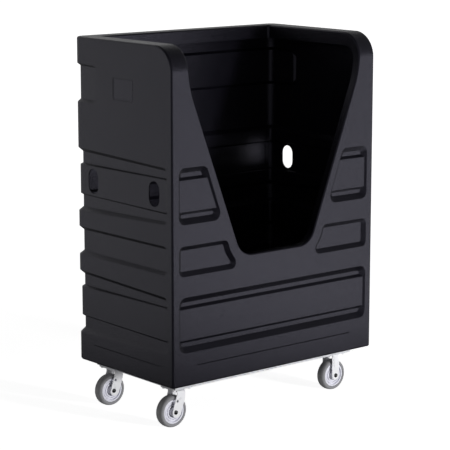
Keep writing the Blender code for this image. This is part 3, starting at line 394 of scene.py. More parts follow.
def extrudeSolid(name, outline, start, end, axis="Z"):
    return loftSolid(name, [placed(outline, start, axis), placed(outline, end, axis)])


def latheSolid(name, profile, steps, closed=False):
    # a profile of (radius, height) points turned about Z; points on the axis close the ends
    solid = bmesh.new()
    turns = []
    for step in range(steps):
        angle = 2 * math.pi * (step + 0.5) / steps
        turns.append([solid.verts.new((radius * math.cos(angle), radius * math.sin(angle), height))
                      for radius, height in profile])
    spans = range(len(profile)) if closed else range(len(profile) - 1)
    for near, far in zip(turns, turns[1:] + turns[:1]):
        for index in spans:
            following = (index + 1) % len(profile)
            solid.faces.new((near[index], near[following], far[following], far[index]))
    bmesh.ops.remove_doubles(solid, verts=solid.verts, dist=1e-7)
    bmesh.ops.recalc_face_normals(solid, faces=solid.faces)
    return meshPiece(name, solid)


def combine(piece, others, operation="DIFFERENCE"):
    for other in others:
        modifier = piece.modifiers.new(other.name, "BOOLEAN")
        modifier.operation = operation
        modifier.solver = "EXACT"
        modifier.object = other
    bpy.context.view_layer.update()
    shaped = piece.evaluated_get(bpy.context.evaluated_depsgraph_get())
    mesh = bpy.data.meshes.new_from_object(shaped)
    piece.modifiers.clear()
    piece.data = mesh
    for other in others:
        bpy.data.objects.remove(other, do_unlink=True)
    return piece


def shadeSoft(piece, degrees):
    piece.data.shade_smooth()
    piece.data.set_sharp_from_angle(angle=math.radians(degrees))


def softenEdges(piece, width):
    bevel = piece.modifiers.new("softEdges", "BEVEL")
    bevel.width = width
    bevel.segments = 2
    bevel.limit_method = "ANGLE"
    bevel.angle_limit = math.radians(35)
    bevel.harden_normals = True


def settle(piece, node, slot, material=None):
    # a new piece takes its finish, and rides on the body of the node that it dresses
    piece.data.materials.clear()
    piece.data.materials.append(material or finishes[slot])
    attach(piece, bodyOfNode[node])


# the moulded tub, in metres; heights are above the tub's own bottom
tub = {
    "halfLength": 0.620, "halfDepth": 0.3715, "bottom": 0.222, "height": 1.548, "wall": 0.006,
    "backCorner": 0.050, "frontCorner": 0.010, "shoulder": 0.122, "edge": 0.009,
    "cornerSteps": 12, "frontSteps": 4, "shoulderSteps": 18, "edgeSteps": 5,
    "margin": 0.040, "hair": 0.0003,     # how far the cutters reach past the walls, and overlap
}
tubTop = tub["bottom"] + tub["height"]


def raised(height):
    return height + tub["bottom"]


def quarterRound(radius, steps):
    return arcPoints((radius, radius), radius, 270, 180, steps)


def tubBlock(name, inset):
    # the tub's whole outside, or its inside when inset, with the front shoulder rounded
    x, y = tub["halfLength"] - inset, tub["halfDepth"] - inset
    front, back = tub["frontCorner"] - inset, tub["backCorner"] - inset
    outline = arcPoints((front - x, front - y), front, 180, 270, tub["frontSteps"])
    outline += arcPoints((x - front, front - y), front, 270, 360, tub["frontSteps"])
    outline += arcPoints((x - back, y - back), back, 0, 90, tub["cornerSteps"])
    outline += arcPoints((back - x, y - back), back, 90, 180, tub["cornerSteps"])
    low, high = tub["bottom"] + inset, tubTop - inset
    steps = quarterRound(tub["edge"] - inset, tub["edgeSteps"])
    levels = [(low + rise, pull) for pull, rise in steps]
    levels += [(high - rise, pull) for pull, rise in reversed(steps)]
    block = loftSolid(name, [placed(offsetLoop(outline, -pull), z, "Z") for z, pull in levels])

    shoulder = tub["shoulder"] - inset
    hair = tub["hair"]
    centre = (shoulder - y - hair, high - shoulder + hair)
    outer = (-tub["halfDepth"] - tub["margin"], tubTop + tub["margin"])
    ends = [(-x - tub["margin"], steps[0][0])] + [(rise - x, pull) for pull, rise in steps]
    ends += [(-at, pull) for at, pull in reversed(ends)]
    rings = []
    for at, pull in ends:
        ring = arcPoints(centre, shoulder - pull, 180, 90, tub["shoulderSteps"])
        ring += [(centre[0], outer[1]), outer, (outer[0], centre[1])]
        rings.append(placed(ring, at, "X"))
    return combine(block, [loftSolid(name + "Shoulder", rings)])


# curves at the edges of the pressed forms outside the wall and inside it, and how far a section
# runs on along the wall
eased = {"proud": 0.0018, "hollow": 0.0012, "innerProud": 0.0012, "innerHollow": 0.0042,
         "run": 0.05}


def pressedLine(points, grow):
    # a section across a pressed form, eased at its corners; it starts and ends on the wall
    first, last = points[0], points[-1]
    run = eased["run"] if last[0] > first[0] else -eased["run"]
    line = [(first[0] - run, first[1]), *points, (last[0] + run, last[1])]
    if grow:
        return easeCorners(offsetLine(line, grow), eased["innerProud"], eased["innerHollow"])
    return easeCorners(line, eased["proud"], eased["hollow"])


# belts that run back along both side walls and across the rear wall: sections at the front end
# and at the rear, as (height, depth)
groove = {
    "front": -0.3325, "endRadius": 0.022, "lead": 0.005, "recessFront": 0.180,
    "recessRadius": 0.034,
    "upperBelt": (
        ((1.0060, 0), (0.9915, 0.013), (0.9575, 0.013), (0.9525, 0.006),
         (0.8035, 0.006), (0.7950, 0.013), (0.7615, 0.013), (0.7480, 0)),
        ((1.0275, 0), (1.0080, 0.022), (0.9535, 0.022), (0.9465, 0.009),
         (0.8090, 0.009), (0.8010, 0.022), (0.7445, 0.022), (0.7260, 0)),
    ),
    "middleBelt": (
        ((0.6505, 0), (0.6360, 0.013), (0.5325, 0.013), (0.5170, 0)),
        ((0.6510, 0), (0.6325, 0.022), (0.5330, 0.022), (0.5155, 0)),
    ),
    "lowerBelt": (
        ((0.4160, 0), (0.4000, 0.014), (0.3700, 0.014), (0.3650, 0.006),
         (0.2130, 0.006), (0.2055, 0.014), (0.1760, 0.014), (0.1535, 0)),
        ((0.4385, 0), (0.4185, 0.023), (0.3650, 0.023), (0.3565, 0.009),
         (0.2195, 0.009), (0.2110, 0.023), (0.1570, 0.023), (0.1345, 0)),
    ),
    "recess": (
        ((1.4205, 0), (1.4095, 0.012), (1.2575, 0.012), (1.2460, 0)),
        ((1.4245, 0), (1.4130, 0.015), (1.2570, 0.015), (1.2430, 0)),
    ),
    # the ramp at the front end: the level run after it, how much of that is kept, the least
    # depth, and how far apart two sections stand
    "level": 0.08, "kept": 0.03, "least": 0.0004, "apart": 0.001,
}


def wallStops():
    # round the left rear corner: (point, way out of the wall)
    x, back = tub["halfLength"], tub["backCorner"]
    arcStart = tub["halfDepth"] - back
    stops = [((-x, arcStart - groove["lead"]), (-1, 0))]
    for step in range(tub["cornerSteps"]):
        angle = math.pi - (step + 0.5) * math.pi / 2 / tub["cornerSteps"]
        outward = (math.cos(angle), math.sin(angle))
        stops.append(((back - x + back * outward[0], arcStart + back * outward[1]), outward))
    stops.append(((back - x + groove["lead"], tub["halfDepth"]), (0, 1)))
    return stops


def grooveSection(section, reach, depthHere, radius):
    # the section near a closed end: squeezed in height by the round end, no deeper than depthHere
    away = radius - min(max(reach, 0.0), radius)
    lift = radius - math.sqrt(radius ** 2 - away ** 2)
    deepest = max(depth for height, depth in section)
    top, bottom = section[0][0], section[-1][0]
    middle = (top + bottom) / 2
    share = depthHere / deepest
    points = []
    for height, depth in section:
        edge = top if height > middle else bottom
        pulled = edge + (height - edge) * (share if depth == deepest else 1.0)
        points.append((pulled - (lift if height > middle else -lift), min(depth, depthHere)))
    return points


def grooveRing(line, grow):
    top, foot, edge = line[0][0], line[-1][0], grow - tub["hair"]
    inner = [(height, max(depth, 0.0)) for height, depth in line[1:-1]]
    return [(top, -tub["margin"]), (top, edge), *inner, (foot, edge), (foot, -tub["margin"])]


def grooveCutter(name, sections, front, grow, radius):
    first, last = sections
    deepest = max(depth for height, depth in first)
    ramp = pressedLine([(0.0, 0.0), (deepest, deepest), (deepest + groove["level"], deepest)], grow)
    reaches = [(reach, max(depth - grow, groove["least"])) for reach, depth in ramp
               if reach < deepest + groove["kept"]]
    for share in (0.5, 0.75, 1.0):       # of the round end
        if radius * share > reaches[-1][0] + groove["apart"]:
            reaches.append((radius * share, deepest))
    stops = []
    for reach, depth in reaches:
        line = pressedLine(grooveSection(first, reach, depth, radius), grow)
        stops.append(((-tub["halfLength"], front + reach), (-1, 0), line))
    stops += [(point, outward, pressedLine(last, grow)) for point, outward in wallStops()]
    stops += [((-point[0], point[1]), (-outward[0], outward[1]), line)
              for point, outward, line in reversed(stops)]
    rings = []
    for point, outward, line in stops:
        rings.append([(point[0] - outward[0] * depth, point[1] - outward[1] * depth, raised(height))
                      for height, depth in grooveRing(line, grow)])
    return loftSolid(name, rings)


# front pockets: corners as (across, height, radius), and the raised panels' heights as
# (foot, edge) above and (edge, foot) below
pocket = {
    "slope": 1.3, "depth": 0.020, "shallow": 0.016, "panel": 0.008,
    "upper": ((-0.5815, 0.748, 0.034), (-0.3262, 0.748, 0.036),
              (-0.4215, 1.006, 0.036), (-0.5815, 1.006, 0.034)),
    "lower": ((-0.5815, 0.511, 0.028), (-0.2373, 0.511, 0.028), (-0.2516, 0.554, 0.034),
              (-0.2827, 0.599, 0.090), (-0.2970, 0.650, 0.030), (-0.5815, 0.650, 0.028)),
    "wide": ((-0.5815, 0.1555, 0.038), (0.5815, 0.1555, 0.038),
             (0.5815, 0.4140, 0.038), (-0.5815, 0.4140, 0.038)),
    "upperPanel": ((0.961, 0.949), (0.805, 0.791)),
    "widePanel": ((0.370, 0.358), (0.213, 0.201)),
}


def pocketCutter(name, corners, depth, grow, panel=None):
    outline = roundCorners(corners, degreesPerStep=9)
    line = pressedLine([(0.0, 0.0), (pocket["slope"] * depth, depth)], grow)
    rings = [placed([(a, raised(b)) for a, b in offsetLoop(outline, -line[0][0])],
                    -tub["halfDepth"] - tub["margin"], "Y")]
    for index, (inset, level) in enumerate(line):
        level = grow - tub["hair"] if index == 0 else level
        ring = [(a, raised(b)) for a, b in offsetLoop(outline, -inset)]
        rings.append(placed(ring, -tub["halfDepth"] + level, "Y"))
    cutter = loftSolid(name, rings)
    if panel:
        (upperFoot, upperEdge), (lowerEdge, lowerFoot) = panel
        ridge = pressedLine([(upperFoot, depth), (upperEdge, pocket["panel"]),
                             (lowerEdge, pocket["panel"]), (lowerFoot, depth)], grow)
        bottom = depth + grow + tub["hair"]
        top, foot = ridge[0][0], ridge[-1][0]
        ridge = [(top, bottom), *ridge[1:-1], (foot, bottom),
                 (foot, bottom + tub["margin"]), (top, bottom + tub["margin"])]
        ridge = [(level - tub["halfDepth"], raised(height)) for height, level in ridge]
        half = tub["halfLength"]
        combine(cutter, [extrudeSolid(name + "Panel", ridge, -half, half, "X")])
    return cutter


def pressedForms(name, grow):
    cutters = [grooveCutter(name + belt, groove[belt], groove["front"], grow, groove["endRadius"])
               for belt in ("upperBelt", "middleBelt", "lowerBelt")]
    cutters.append(grooveCutter(name + "recess", groove["recess"], groove["recessFront"], grow,
                                groove["recessRadius"]))
    cutters.append(pocketCutter(name + "wide", pocket["wide"], pocket["depth"], grow,
                                pocket["widePanel"]))
    for side in ("left", "right"):
        for part, depth, panel in (("upper", pocket["depth"], pocket["upperPanel"]),
                                   ("lower", pocket["shallow"], None)):
            corners = pocket[part]
            if side == "right":
                corners = tuple((-a, b, radius) for a, b, radius in reversed(corners))
            cutters.append(pocketCutter(name + side + part, corners, depth, grow, panel))
    return cutters


# the front opening with its leaning jambs, and the mouth above it; what is cut lies within
# jambLip of the front or within rimDrop of the top
opening = {
    "sill": 0.566, "sillCorner": 0.0965, "jambHeight": 0.691, "jambHalf": 0.260, "lean": 0.381,
    "jambTop": 0.490, "mouthHalf": 0.522, "mouthBack": 0.285, "mouthCorner": 0.014,
    "rimDrop": 0.065, "jambLip": 0.040, "lipShoulder": 0.070, "clearance": 0.001,
    "degreesPerStep": 2.5,
}


def jambHalf(height):
    return opening["jambHalf"] + opening["lean"] * (height - opening["jambHeight"])


def kneeHeight():
    return opening["jambHeight"] + (opening["mouthHalf"] - opening["jambHalf"]) / opening["lean"]


def openingOutline():
    mouth, level, corner = opening["mouthHalf"], opening["sill"], opening["sillCorner"]
    sill, knee, top = jambHalf(level), kneeHeight(), tub["height"] + tub["margin"]
    corners = [(-sill, level, corner), (sill, level, corner), (mouth, knee, opening["jambTop"]),
               (mouth, top, 0), (-mouth, top, 0), (-mouth, knee, opening["jambTop"])]
    return roundCorners(corners, opening["degreesPerStep"])


def openingCutter(name, grow, clearance):
    outline = [(a, raised(b)) for a, b in offsetLoop(openingOutline(), grow)]
    cutter = extrudeSolid(name, outline, -tub["halfDepth"] - tub["margin"], tub["halfDepth"], "Y")
    side = opening["mouthHalf"] + grow + opening["clearance"] / 2
    back = opening["mouthBack"] + grow
    corner = opening["mouthCorner"] + grow
    far = -tub["halfDepth"] - 2 * tub["margin"]
    plan = roundCorners([(-side, far, 0), (side, far, 0), (side, back, corner), (-side, back, corner)])
    planSolid = extrudeSolid(name + "Plan", plan, tub["bottom"], tubTop + 2 * tub["margin"])
    combine(cutter, [planSolid], "INTERSECT")
    front = opening["jambLip"] - tub["halfDepth"] - clearance
    top = tubTop - opening["rimDrop"] + clearance
    deep = tub["halfDepth"] + tub["margin"]
    low = tub["bottom"] - tub["margin"]
    inside = roundCorners([(front, low, 0), (deep, low, 0), (deep, top, 0),
                           (front, top, opening["lipShoulder"])])
    reach = tub["halfLength"] + tub["margin"]
    return combine(cutter, [extrudeSolid(name + "Inside", inside, -reach, reach, "X")])


# the rounded edge of the mouth; the cutter reaches past it, and a hair over at both ends
rim = {"round": 0.0085, "steps": 5, "cornerSteps": 6, "past": 0.004, "overOut": 0.0006,
       "overIn": 0.0003}


def mouthAt(level):
    # half width of the mouth at a height above the ground, near its top
    reach = opening["jambTop"] * math.tan(math.atan(opening["lean"]) / 2)
    below = max(raised(kneeHeight() + reach) - level, 0.0)
    return opening["mouthHalf"] - opening["jambTop"] + math.sqrt(opening["jambTop"] ** 2 - below ** 2)


def rimPath():
    # once round the edge of the mouth: (point, way out of the skin, way into the opening)
    mouth, back, corner = opening["mouthHalf"], opening["mouthBack"], opening["mouthCorner"]
    shoulder, frontY = tub["shoulder"], -tub["halfDepth"]
    level = tubTop - shoulder
    half = [(a, raised(b)) for a, b in openingOutline() if a > 0 and raised(b) < level]
    half.sort(key=lambda spot: (-spot[1], -spot[0]))
    half = [(mouthAt(level), level)] + half
    whole = half + [(-a, b) for a, b in reversed(half)]
    stops = []
    for index, (a, b) in enumerate(whole):
        before = whole[max(index - 1, 0)]
        after = whole[min(index + 1, len(whole) - 1)]
        along = Vector((after[0] - before[0], 0, after[1] - before[1])).normalized()
        stops.append((Vector((a, frontY, b)), Vector((0, -1, 0)), Vector((along.z, 0, -along.x))))
    left = []
    for step in range(1, tub["shoulderSteps"] + 1):
        angle = math.radians(90 * step / tub["shoulderSteps"])
        out = Vector((0, -math.cos(angle), math.sin(angle)))
        spot = Vector((0, frontY + shoulder, level)) + out * shoulder
        spot.x = -mouthAt(spot.z)
        left.append((spot, out, Vector((1, 0, 0))))
    for step in range(rim["cornerSteps"] + 1):
        angle = math.radians(180 - 90 * step / rim["cornerSteps"])
        into = Vector((-math.cos(angle), -math.sin(angle), 0))
        spot = Vector((corner - mouth, back - corner, tubTop)) - into * corner
        left.append((spot, Vector((0, 0, 1)), into))
    flip = Matrix.Diagonal((-1, 1, 1))
    stops += left + [(flip @ spot, flip @ out, flip @ into) for spot, out, into in reversed(left)]
    return stops


def rimCutter():
    radius, past = rim["round"], rim["past"]
    rings = []
    for spot, up, into in rimPath():
        centre = spot - up * radius - into * radius
        curve = []
        for step in range(rim["steps"] + 1):
            angle = math.radians(90 * step / rim["steps"])
            curve.append(centre + up * radius * math.cos(angle) + into * radius * math.sin(angle))
        curve[0] += up * rim["overOut"]
        curve[-1] += into * rim["overIn"]
        rings.append([spot - into * radius + up * past, *curve, spot - up * radius + into * past,
                      spot + into * past + up * past])
    return loftSolid("rimRounding", rings, looped=True)


# slots through the side walls, two in each, with rounded rims
handhold = {"width": 0.0755, "height": 0.115, "level": 0.8775, "places": (-0.2325, 0.2325),
            "round": 0.0022, "endSteps": 20, "roundSteps": 4}


def handholdCutter(name, y):
    half = handhold["width"] / 2
    straight = handhold["height"] / 2 - half
    middle = raised(handhold["level"])
    outline = arcPoints((y, middle + straight), half, 0, 180, handhold["endSteps"])
    outline += arcPoints((y, middle - straight), half, 180, 360, handhold["endSteps"])
    start = groove["front"] + groove["endRadius"]
    end = tub["halfDepth"] - tub["backCorner"] - groove["lead"]
    shallow, deep = (section[3][1] for section in groove["upperBelt"])
    face = tub["halfLength"] - shallow - (deep - shallow) * (y - start) / (end - start)
    radius = handhold["round"]
    edge = quarterRound(radius, handhold["roundSteps"])[1:]
    stations = [(face + tub["margin"], radius), (face + tub["hair"], radius)]
    stations += [(face - rise, pull) for pull, rise in edge]
    inner = face - tub["wall"]
    stations += [(inner + rise, pull) for pull, rise in reversed(edge)]
    stations += [(inner - tub["hair"], radius)]
    stations += [(-at, spread) for at, spread in reversed(stations)]
    return loftSolid(name, [placed(offsetLoop(outline, spread), at, "X") for at, spread in stations])


# level creases near the bottom of all four walls
crease = {"height": 0.0046, "depth": 0.0046, "front": 0.0895, "frontHalf": 0.4775,
          "side": 0.0865, "sideFront": -0.279, "sideBack": 0.233}


def creaseCutters():
    # each crease is flat above and slopes out below, so that it shows as one dark line
    runs = (("Y", "halfDepth", crease["front"], -crease["frontHalf"], crease["frontHalf"]),
            ("X", "halfLength", crease["side"], crease["sideFront"], crease["sideBack"]))
    cutters = []
    for axis, half, height, start, end in runs:
        for side in (-1, 1):
            outer, inner = side * (tub[half] + tub["hair"]), side * (tub[half] - crease["depth"])
            low, high = raised(height), raised(height) + crease["height"]
            rings = []
            for along in (start, end):
                section = ((outer, low), (inner, high), (outer, high))
                rings.append([(along, across, level) if axis == "Y" else (across, along, level)
                              for across, level in section])
            cutters.append(loftSolid("crease", rings))
    return cutters


# a bare plate let into the left wall, with a raised border: gap and middle are measured in from
# the recess's edge, and below and sunk are the depths of its border and its middle
label = {"length": 0.1525, "height": 0.1005, "y": -0.0138, "level": 1.328, "depth": 0.0030,
         "corner": 0.004, "gap": 0.0020, "middle": 0.0065, "below": 0.0002, "sunk": 0.0012,
         "past": 0.01, "soft": 0.0002}
labelLook = dict(plasticLook, colour=(0.0150, 0.0148, 0.0190), roughSpan=(0.3, 0.7, 0.24, 0.30),
                 pebbleBump=(0.55, 0.00010))


def labelBox(name, shrink, outer, inner):
    # outer and inner are depths from the wall's face
    y, z, corner, face = label["y"], raised(label["level"]), label["corner"], -tub["halfLength"]
    halfY, halfZ = label["length"] / 2 - shrink, label["height"] / 2 - shrink
    corners = [(y - halfY, z - halfZ, corner), (y + halfY, z - halfZ, corner),
               (y + halfY, z + halfZ, corner), (y - halfY, z + halfZ, corner)]
    outline = roundCorners(corners, degreesPerStep=15)
    return extrudeSolid(name, outline, face + outer, face + inner, "X")


def labelPlate():
    plate = labelBox("labelPlate", label["gap"], label["below"], label["depth"])
    middle = labelBox("labelMiddle", label["middle"], -label["past"], label["sunk"])
    combine(plate, [middle])
    softenEdges(plate, label["soft"])
    settle(plate, "cart_body", "black_polyethylene", mouldedPlastic("labelPlastic", labelLook))


# holes in the tub's floor for the bolts that hold it to the base
bodyBolt = {"radius": 0.0045, "x": 0.400, "y": 0.287, "sides": 24, "below": 0.01, "above": 0.02}


def boltHoles():
    cutters = []
    for x in (-bodyBolt["x"], bodyBolt["x"]):
        for y in (-bodyBolt["y"], bodyBolt["y"]):
            hole = arcPoints((x, y), bodyBolt["radius"], 0, 360, bodyBolt["sides"])[:-1]
            cutters.append(extrudeSolid("boltHole", hole, tub["bottom"] - bodyBolt["below"],
                                        tub["bottom"] + bodyBolt["above"]))
    return cutters


def buildTub():
    body = tubBlock("mouldedTub", 0.0)
    combine(body, pressedForms("outer", 0.0))
    combine(body, [openingCutter("mouth", 0.0, 0.0)])
    cavity = tubBlock("cavity", tub["wall"])
    combine(cavity, pressedForms("inner", tub["wall"]))
    combine(cavity, [openingCutter("lip", tub["wall"], opening["clearance"])])
    combine(body, [cavity])
    cutters = [rimCutter()]
    cutters += [handholdCutter("handhold" + str(index), y)
                for index, y in enumerate(handhold["places"])]
    cutters += creaseCutters() + boltHoles()
    cutters.append(labelBox("labelRecess", 0.0, -label["past"], label["depth"]))
    combine(body, cutters)
    return body


mouldedTub = buildTub()
print("tub cut:", len(mouldedTub.data.polygons), "faces")
shadeSoft(mouldedTub, degrees=32)
mouldedTub.modifiers.new("flatFaces", "WEIGHTED_NORMAL").keep_sharp = True
settle(mouldedTub, "cart_body", "black_polyethylene")
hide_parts("cart_body")
labelPlate()
print("label plate made")


# frame channels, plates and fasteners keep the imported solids' shapes, with eased edges:
# the first words of the nodes' names, and the width of the easing
dressed = {
    "galvanised_steel": (("base_front_rail", "base_rear_rail", "left_caster_channel",
                          "right_caster_channel", "centre_cross_channel"), 0.0009),
    "bright_zinc": (("body_bolt", "caster_bolt", "top_plate", "king_bolt", "axle_nut",
                     "spanner_bushing", "swivel_fork", "rigid_fork"), 0.0005),
    "dark_steel": (("ball_ring", "roller_bearing"), 0.0004),
}


def dressNode(node, slot, width):
    solid = bmesh.new()
    solid.from_mesh(frame["nodes"][node].data)
    bmesh.ops.remove_doubles(solid, verts=solid.verts, dist=0.00001)
    bmesh.ops.dissolve_limit(solid, angle_limit=math.radians(1), verts=solid.verts, edges=solid.edges)
    piece = meshPiece(node + "_dressed", solid)
    shadeSoft(piece, degrees=30)
    softenEdges(piece, width)
    settle(piece, node, slot)
    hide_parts(node)


for slotName, (words, width) in dressed.items():
    for node in sorted(name for name in frame["nodes"] if name.startswith(words)):
        dressNode(node, slotName, width)
print("frame, plates and fasteners dressed")


# wheels, turned about the axle
wheel = {
    "radius": 0.0762, "width": 0.048, "hubRadius": 0.058, "hubWidth": 0.044, "steps": 96,
    "boss": 0.020, "bossHalf": 0.0302, "bore": 0.0121, "hair": 0.00002,
    # the tyre's side, from its foot to the tread: (below the tread, in from the side)
    "seat": 0.0003, "footIn": 0.0030, "tyreEase": 0.0030,
    "tyreSide": ((0.0155, 0.0006), (0.0080, 0.0), (0.0024, 0.0055), (0.0, 0.0160)),
    # the core's side, from the boss to the rim, with three ring grooves: (radius, half width)
    "coreSide": ((0.0212, 0.0100), (0.0262, 0.0100), (0.0275, 0.0180), (0.0345, 0.0180),
                 (0.0352, 0.0120), (0.0378, 0.0120), (0.0385, 0.0180), (0.0455, 0.0180),
                 (0.0462, 0.0130), (0.0486, 0.0130)),
    "rimEdge": 0.0494, "rimFall": 0.0012, "coreEase": 0.0014,
}


def easedProfile(points, ease):
    # a closed profile with each corner cut by a short curve
    result = []
    count = len(points)
    for index, here in enumerate(points):
        before, after = Vector(points[index - 1]), Vector(points[(index + 1) % count])
        spot = Vector(here)
        back, go = before - spot, after - spot
        reach = min(ease, 0.4 * back.length, 0.4 * go.length)
        first, last = spot + back.normalized() * reach, spot + go.normalized() * reach
        for t in (0.0, 0.33, 0.67, 1.0):
            point = first * (1 - t) ** 2 + spot * (2 * t * (1 - t)) + last * t ** 2
            result.append((point.x, point.y))
    return result


def bothSides(side):
    return side + [(radius, -height) for radius, height in reversed(side)]


def wheelCentre(word):
    low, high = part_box("tyre_" + word)
    return (low + high) / 2


def mountTurned(piece, word, node, slot, material=None):
    # the lathe's axis becomes the axle's
    piece.rotation_euler = (math.radians(90), 0, 0)
    piece.location = wheelCentre(word)
    shadeSoft(piece, degrees=40)
    settle(piece, node + word, slot, material)
    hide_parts(node + word)


def buildWheel(word):
    half, edge = wheel["width"] / 2, wheel["hubWidth"] / 2
    top = wheel["radius"] - wheel["hair"]
    tyreSide = [(wheel["hubRadius"] + wheel["seat"], wheel["footIn"] - half)]
    tyreSide += [(top - below, inset - half) for below, inset in wheel["tyreSide"]]
    tyre = latheSolid("treadRing_" + word, easedProfile(bothSides(tyreSide), wheel["tyreEase"]),
                      wheel["steps"], closed=True)
    coreSide = [(wheel["bore"], wheel["bossHalf"]), (wheel["boss"], wheel["bossHalf"])]
    coreSide += wheel["coreSide"]
    coreSide += [(wheel["rimEdge"], edge), (wheel["hubRadius"], edge - wheel["rimFall"])]
    core = latheSolid("wheelCore_" + word, easedProfile(bothSides(coreSide), wheel["coreEase"]),
                      wheel["steps"], closed=True)
    mountTurned(tyre, word, "tyre_", "grey_rubber")
    mountTurned(core, word, "hub_", "light_grey_plastic")


# polished domed heads on the axle bolts
axle = {"head": 0.0108, "shank": 0.0063, "rise": 0.0080, "bevel": 0.0010, "steps": 48, "domeSteps": 12}
axleLook = {
    "colour": (0.30, 0.30, 0.31), "tint": (0.24, 0.24, 0.25), "dirt": (0.20, 0.20, 0.20),
    "metal": 1.0, "grain": 300.0, "roughSpan": (0.2, 0.8, 0.10, 0.16),
}
axleFinish = platedSteel("polishedSteel", axleLook)


def buildAxleBolt(word):
    low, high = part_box("axle_bolt_" + word)
    middle = wheelCentre(word).y
    crown, tip = middle - low.y, middle - high.y
    under = crown - axle["rise"]
    profile = [(axle["head"] * math.sin(angle), under + axle["rise"] * math.cos(angle))
               for angle in (math.radians(90 * step / axle["domeSteps"])
                             for step in range(axle["domeSteps"] + 1))]
    profile += [(axle["shank"], under), (axle["shank"], tip + axle["bevel"]),
                (axle["shank"] - axle["bevel"], tip), (0, tip)]
    bolt = latheSolid("domedBolt_" + word, profile, axle["steps"])
    mountTurned(bolt, word, "axle_bolt_", "dark_steel", axleFinish)


for corner in ("front_left", "rear_left", "front_right", "rear_right"):
    buildWheel(corner)
    buildAxleBolt(corner)
print("wheels and axle bolts turned")


# plain pale floor: white is its brightness for the camera, by distance from the cart, and bounce
# its brightness for soft light
floorLook = {
    "half": 90.0, "colour": (0.80, 0.80, 0.80), "roughness": 0.9, "white": (1.5, 8.0, 0.86, 1.0),
    "bounce": 0.32,
}
# what the glossy walls mirror of it, in metres from the middle of the cart: a way points along
# the floor, and a span is as in the looks above
mirrored = {
    "rightWay": (0.94, -0.34, 0.0), "rightSpan": (-0.6, 0.92, 0.0, 1.40),
    "rightNear": (2.0, 4.5, 1.26, 1.0), "rightFar": (4.5, 8.0, 1.0, 1.5),
    "rightEdgeWay": (0.50, -0.866, 0.0), "rightEdge": (0.78, 0.92, 0.0, 1.0),
    "frontWay": (0.0, -1.0, 0.0), "rightFront": (0.76, 1.12, 0.05, 1.0),
    "leftWay": (-0.643, 0.766, 0.0), "leftSpan": (0.68, 0.90, 0.0, 0.57),
    "leftFar": (1.5, 9.0, 0.84, 1.1),
    "sideWay": (-1.0, 0.0, 0.0), "leftSide": (0.84, 1.24, 0.0, 1.0),
    "between": (0.6, 2.0, 0.0, 0.12),
    "aheadWay": (-0.643, -0.766, 0.0), "aheadSpan": (0.80, 0.97, 0.0, 0.20),
    "aheadFar": (1.2, 2.6, 0.0, 1.0),
    "stripFar": (0.7, 1.7, 1.0, 0.0), "stripFront": (0.42, 0.62, 0.0, 1.0), "strip": 0.0,
}


def mirroredLight(tree, point, distance):
    # bright to the right, dimmer to the left, faint ahead, with a dark strip close in front
    unit = addNode(tree, "ShaderNodeVectorMath", {0: point}, operation="NORMALIZE").outputs[0]
    toward = {way: vectorDot(tree, unit, mirrored[way])
              for way in ("rightWay", "rightEdgeWay", "leftWay", "aheadWay")}
    front = vectorDot(tree, point, mirrored["frontWay"])
    side = vectorDot(tree, point, mirrored["sideWay"])
    spread = mathNode(tree, "MAXIMUM", remap(tree, distance, *mirrored["rightNear"]),
                      remap(tree, distance, *mirrored["rightFar"]))
    right = mathNode(tree, "MULTIPLY", remap(tree, toward["rightWay"], *mirrored["rightSpan"]), spread,
                     remap(tree, toward["rightEdgeWay"], *mirrored["rightEdge"]),
                     remap(tree, front, *mirrored["rightFront"]))
    left = mathNode(tree, "MULTIPLY", remap(tree, toward["leftWay"], *mirrored["leftSpan"]),
                    remap(tree, distance, *mirrored["leftFar"]),
                    remap(tree, side, *mirrored["leftSide"]))
    ahead = mathNode(tree, "MULTIPLY", remap(tree, toward["aheadWay"], *mirrored["aheadSpan"]),
                     remap(tree, distance, *mirrored["aheadFar"]))
    between = remap(tree, distance, *mirrored["between"])
    lit = mathNode(tree, "MAXIMUM", right, left, between, ahead)
    strip = mathNode(tree, "MULTIPLY", remap(tree, distance, *mirrored["stripFar"]),
                     remap(tree, front, *mirrored["stripFront"]))
    return mixNumber(tree, strip, lit, mirrored["strip"])


def floorMaterial():
    # the camera sees a pale floor, the glossy walls its bright and dark parts, and soft light a
    # plain dim one
    material, tree, shader = startMaterial("paleFloor")
    point = objectPoint(tree)
    distance = vectorLength(tree, point)
    path = addNode(tree, "ShaderNodeLightPath")
    seen = path.outputs["Is Camera Ray"]
    unseen = mixNumber(tree, path.outputs["Is Diffuse Ray"], mirroredLight(tree, point, distance),
                       floorLook["bounce"])
    white = remap(tree, distance, *floorLook["white"])
    tree.links.new(mixNumber(tree, seen, unseen, white), shader.inputs["Emission Strength"])
    paint = mixColour(tree, seen, (0.0, 0.0, 0.0), floorLook["colour"])
    tree.links.new(paint, shader.inputs["Base Color"])
    shader.inputs["Emission Color"].default_value = (1, 1, 1, 1)
    shader.inputs["Roughness"].default_value = floorLook["roughness"]
    shader.inputs["Specular IOR Level"].default_value = 0.0
    return material


def layFloor():
    half = floorLook["half"]
    solid = bmesh.new()
    corners = [(-half, -half, 0), (half, -half, 0), (half, half, 0), (-half, half, 0)]
    solid.faces.new([solid.verts.new(corner) for corner in corners])
    floor = meshPiece("paleFloor", solid)
    floor.data.materials.append(floorMaterial())


# soft light from all round, brighter behind and dimmer overhead
sky = {
    "behindWay": (0.0, 0.88, 0.47), "behindSpan": (0.65, 0.97, 0.24, 0.55),
    "overheadSpan": (0.35, 0.90, 1.0, 0.22),
}


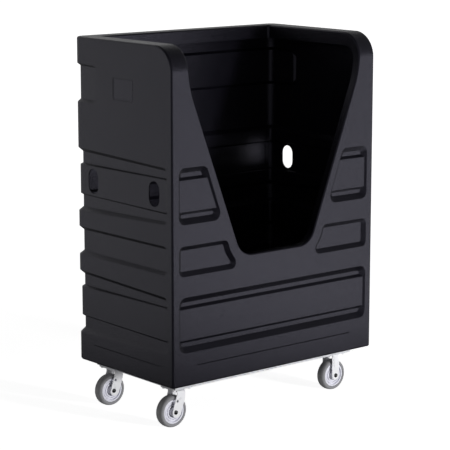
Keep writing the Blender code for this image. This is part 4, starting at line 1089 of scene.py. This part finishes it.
def lightSky():
    world = bpy.data.worlds.new("studio")
    scene.world = world
    world.use_nodes = True
    tree = world.node_tree
    background = tree.nodes["Background"]
    direction = addNode(tree, "ShaderNodeTexCoord").outputs["Generated"]
    height = addNode(tree, "ShaderNodeSeparateXYZ", {0: direction}).outputs["Z"]
    around = remap(tree, vectorDot(tree, direction, sky["behindWay"]), *sky["behindSpan"])
    overhead = remap(tree, height, *sky["overheadSpan"])
    seen = addNode(tree, "ShaderNodeLightPath").outputs["Is Camera Ray"]
    strength = mathNode(tree, "MAXIMUM", mathNode(tree, "MULTIPLY", around, overhead), seen)
    background.inputs["Color"].default_value = (1, 1, 1, 1)
    tree.links.new(strength, background.inputs["Strength"])


# one soft lamp in front, to the right
lamp = {"name": "frontSoftbox", "at": (1.5, -6.2, 0.8), "aim": (0.0, 0.0, 0.9), "size": 0.6,
        "power": 340.0}


def hangLamp():
    light = bpy.data.lights.new(lamp["name"], "AREA")
    light.size = lamp["size"]
    light.energy = lamp["power"]
    box = bpy.data.objects.new(lamp["name"], light)
    box.location = lamp["at"]
    box.visible_glossy = False            # the walls show the bright floor, not the lamp
    aim = Vector(lamp["aim"]) - Vector(lamp["at"])
    box.rotation_euler = aim.to_track_quat("-Z", "Y").to_euler()
    scene.collection.objects.link(box)


# the photograph's camera: place in metres, angles in degrees, lens in millimetres
view = {
    "at": (-5.6214, -6.6980, 2.4935), "yaw": 39.993, "pitch": 10.636, "roll": 0.036,
    "lens": 147.72, "sensor": 36.0, "farthest": 400.0,
}


def placeCamera():
    yaw, pitch, roll = (math.radians(view[key]) for key in ("yaw", "pitch", "roll"))
    ahead = Vector((math.sin(yaw) * math.cos(pitch), math.cos(yaw) * math.cos(pitch), -math.sin(pitch)))
    level = ahead.cross(Vector((0, 0, 1))).normalized()
    upright = level.cross(ahead)
    right = math.cos(roll) * level + math.sin(roll) * upright
    up = math.cos(roll) * upright - math.sin(roll) * level
    data = bpy.data.cameras.new("camera")
    data.sensor_fit = "HORIZONTAL"
    data.sensor_width = view["sensor"]
    data.lens = view["lens"]
    data.clip_end = view["farthest"]
    camera = bpy.data.objects.new("camera", data)
    turn = Matrix((right, up, -ahead)).transposed().to_4x4()
    camera.matrix_world = Matrix.Translation(view["at"]) @ turn
    scene.collection.objects.link(camera)
    scene.camera = camera


layFloor()
lightSky()
hangLamp()
placeCamera()
scene.view_settings.view_transform = "Standard"
print("floor, sky, lamp and camera ready")
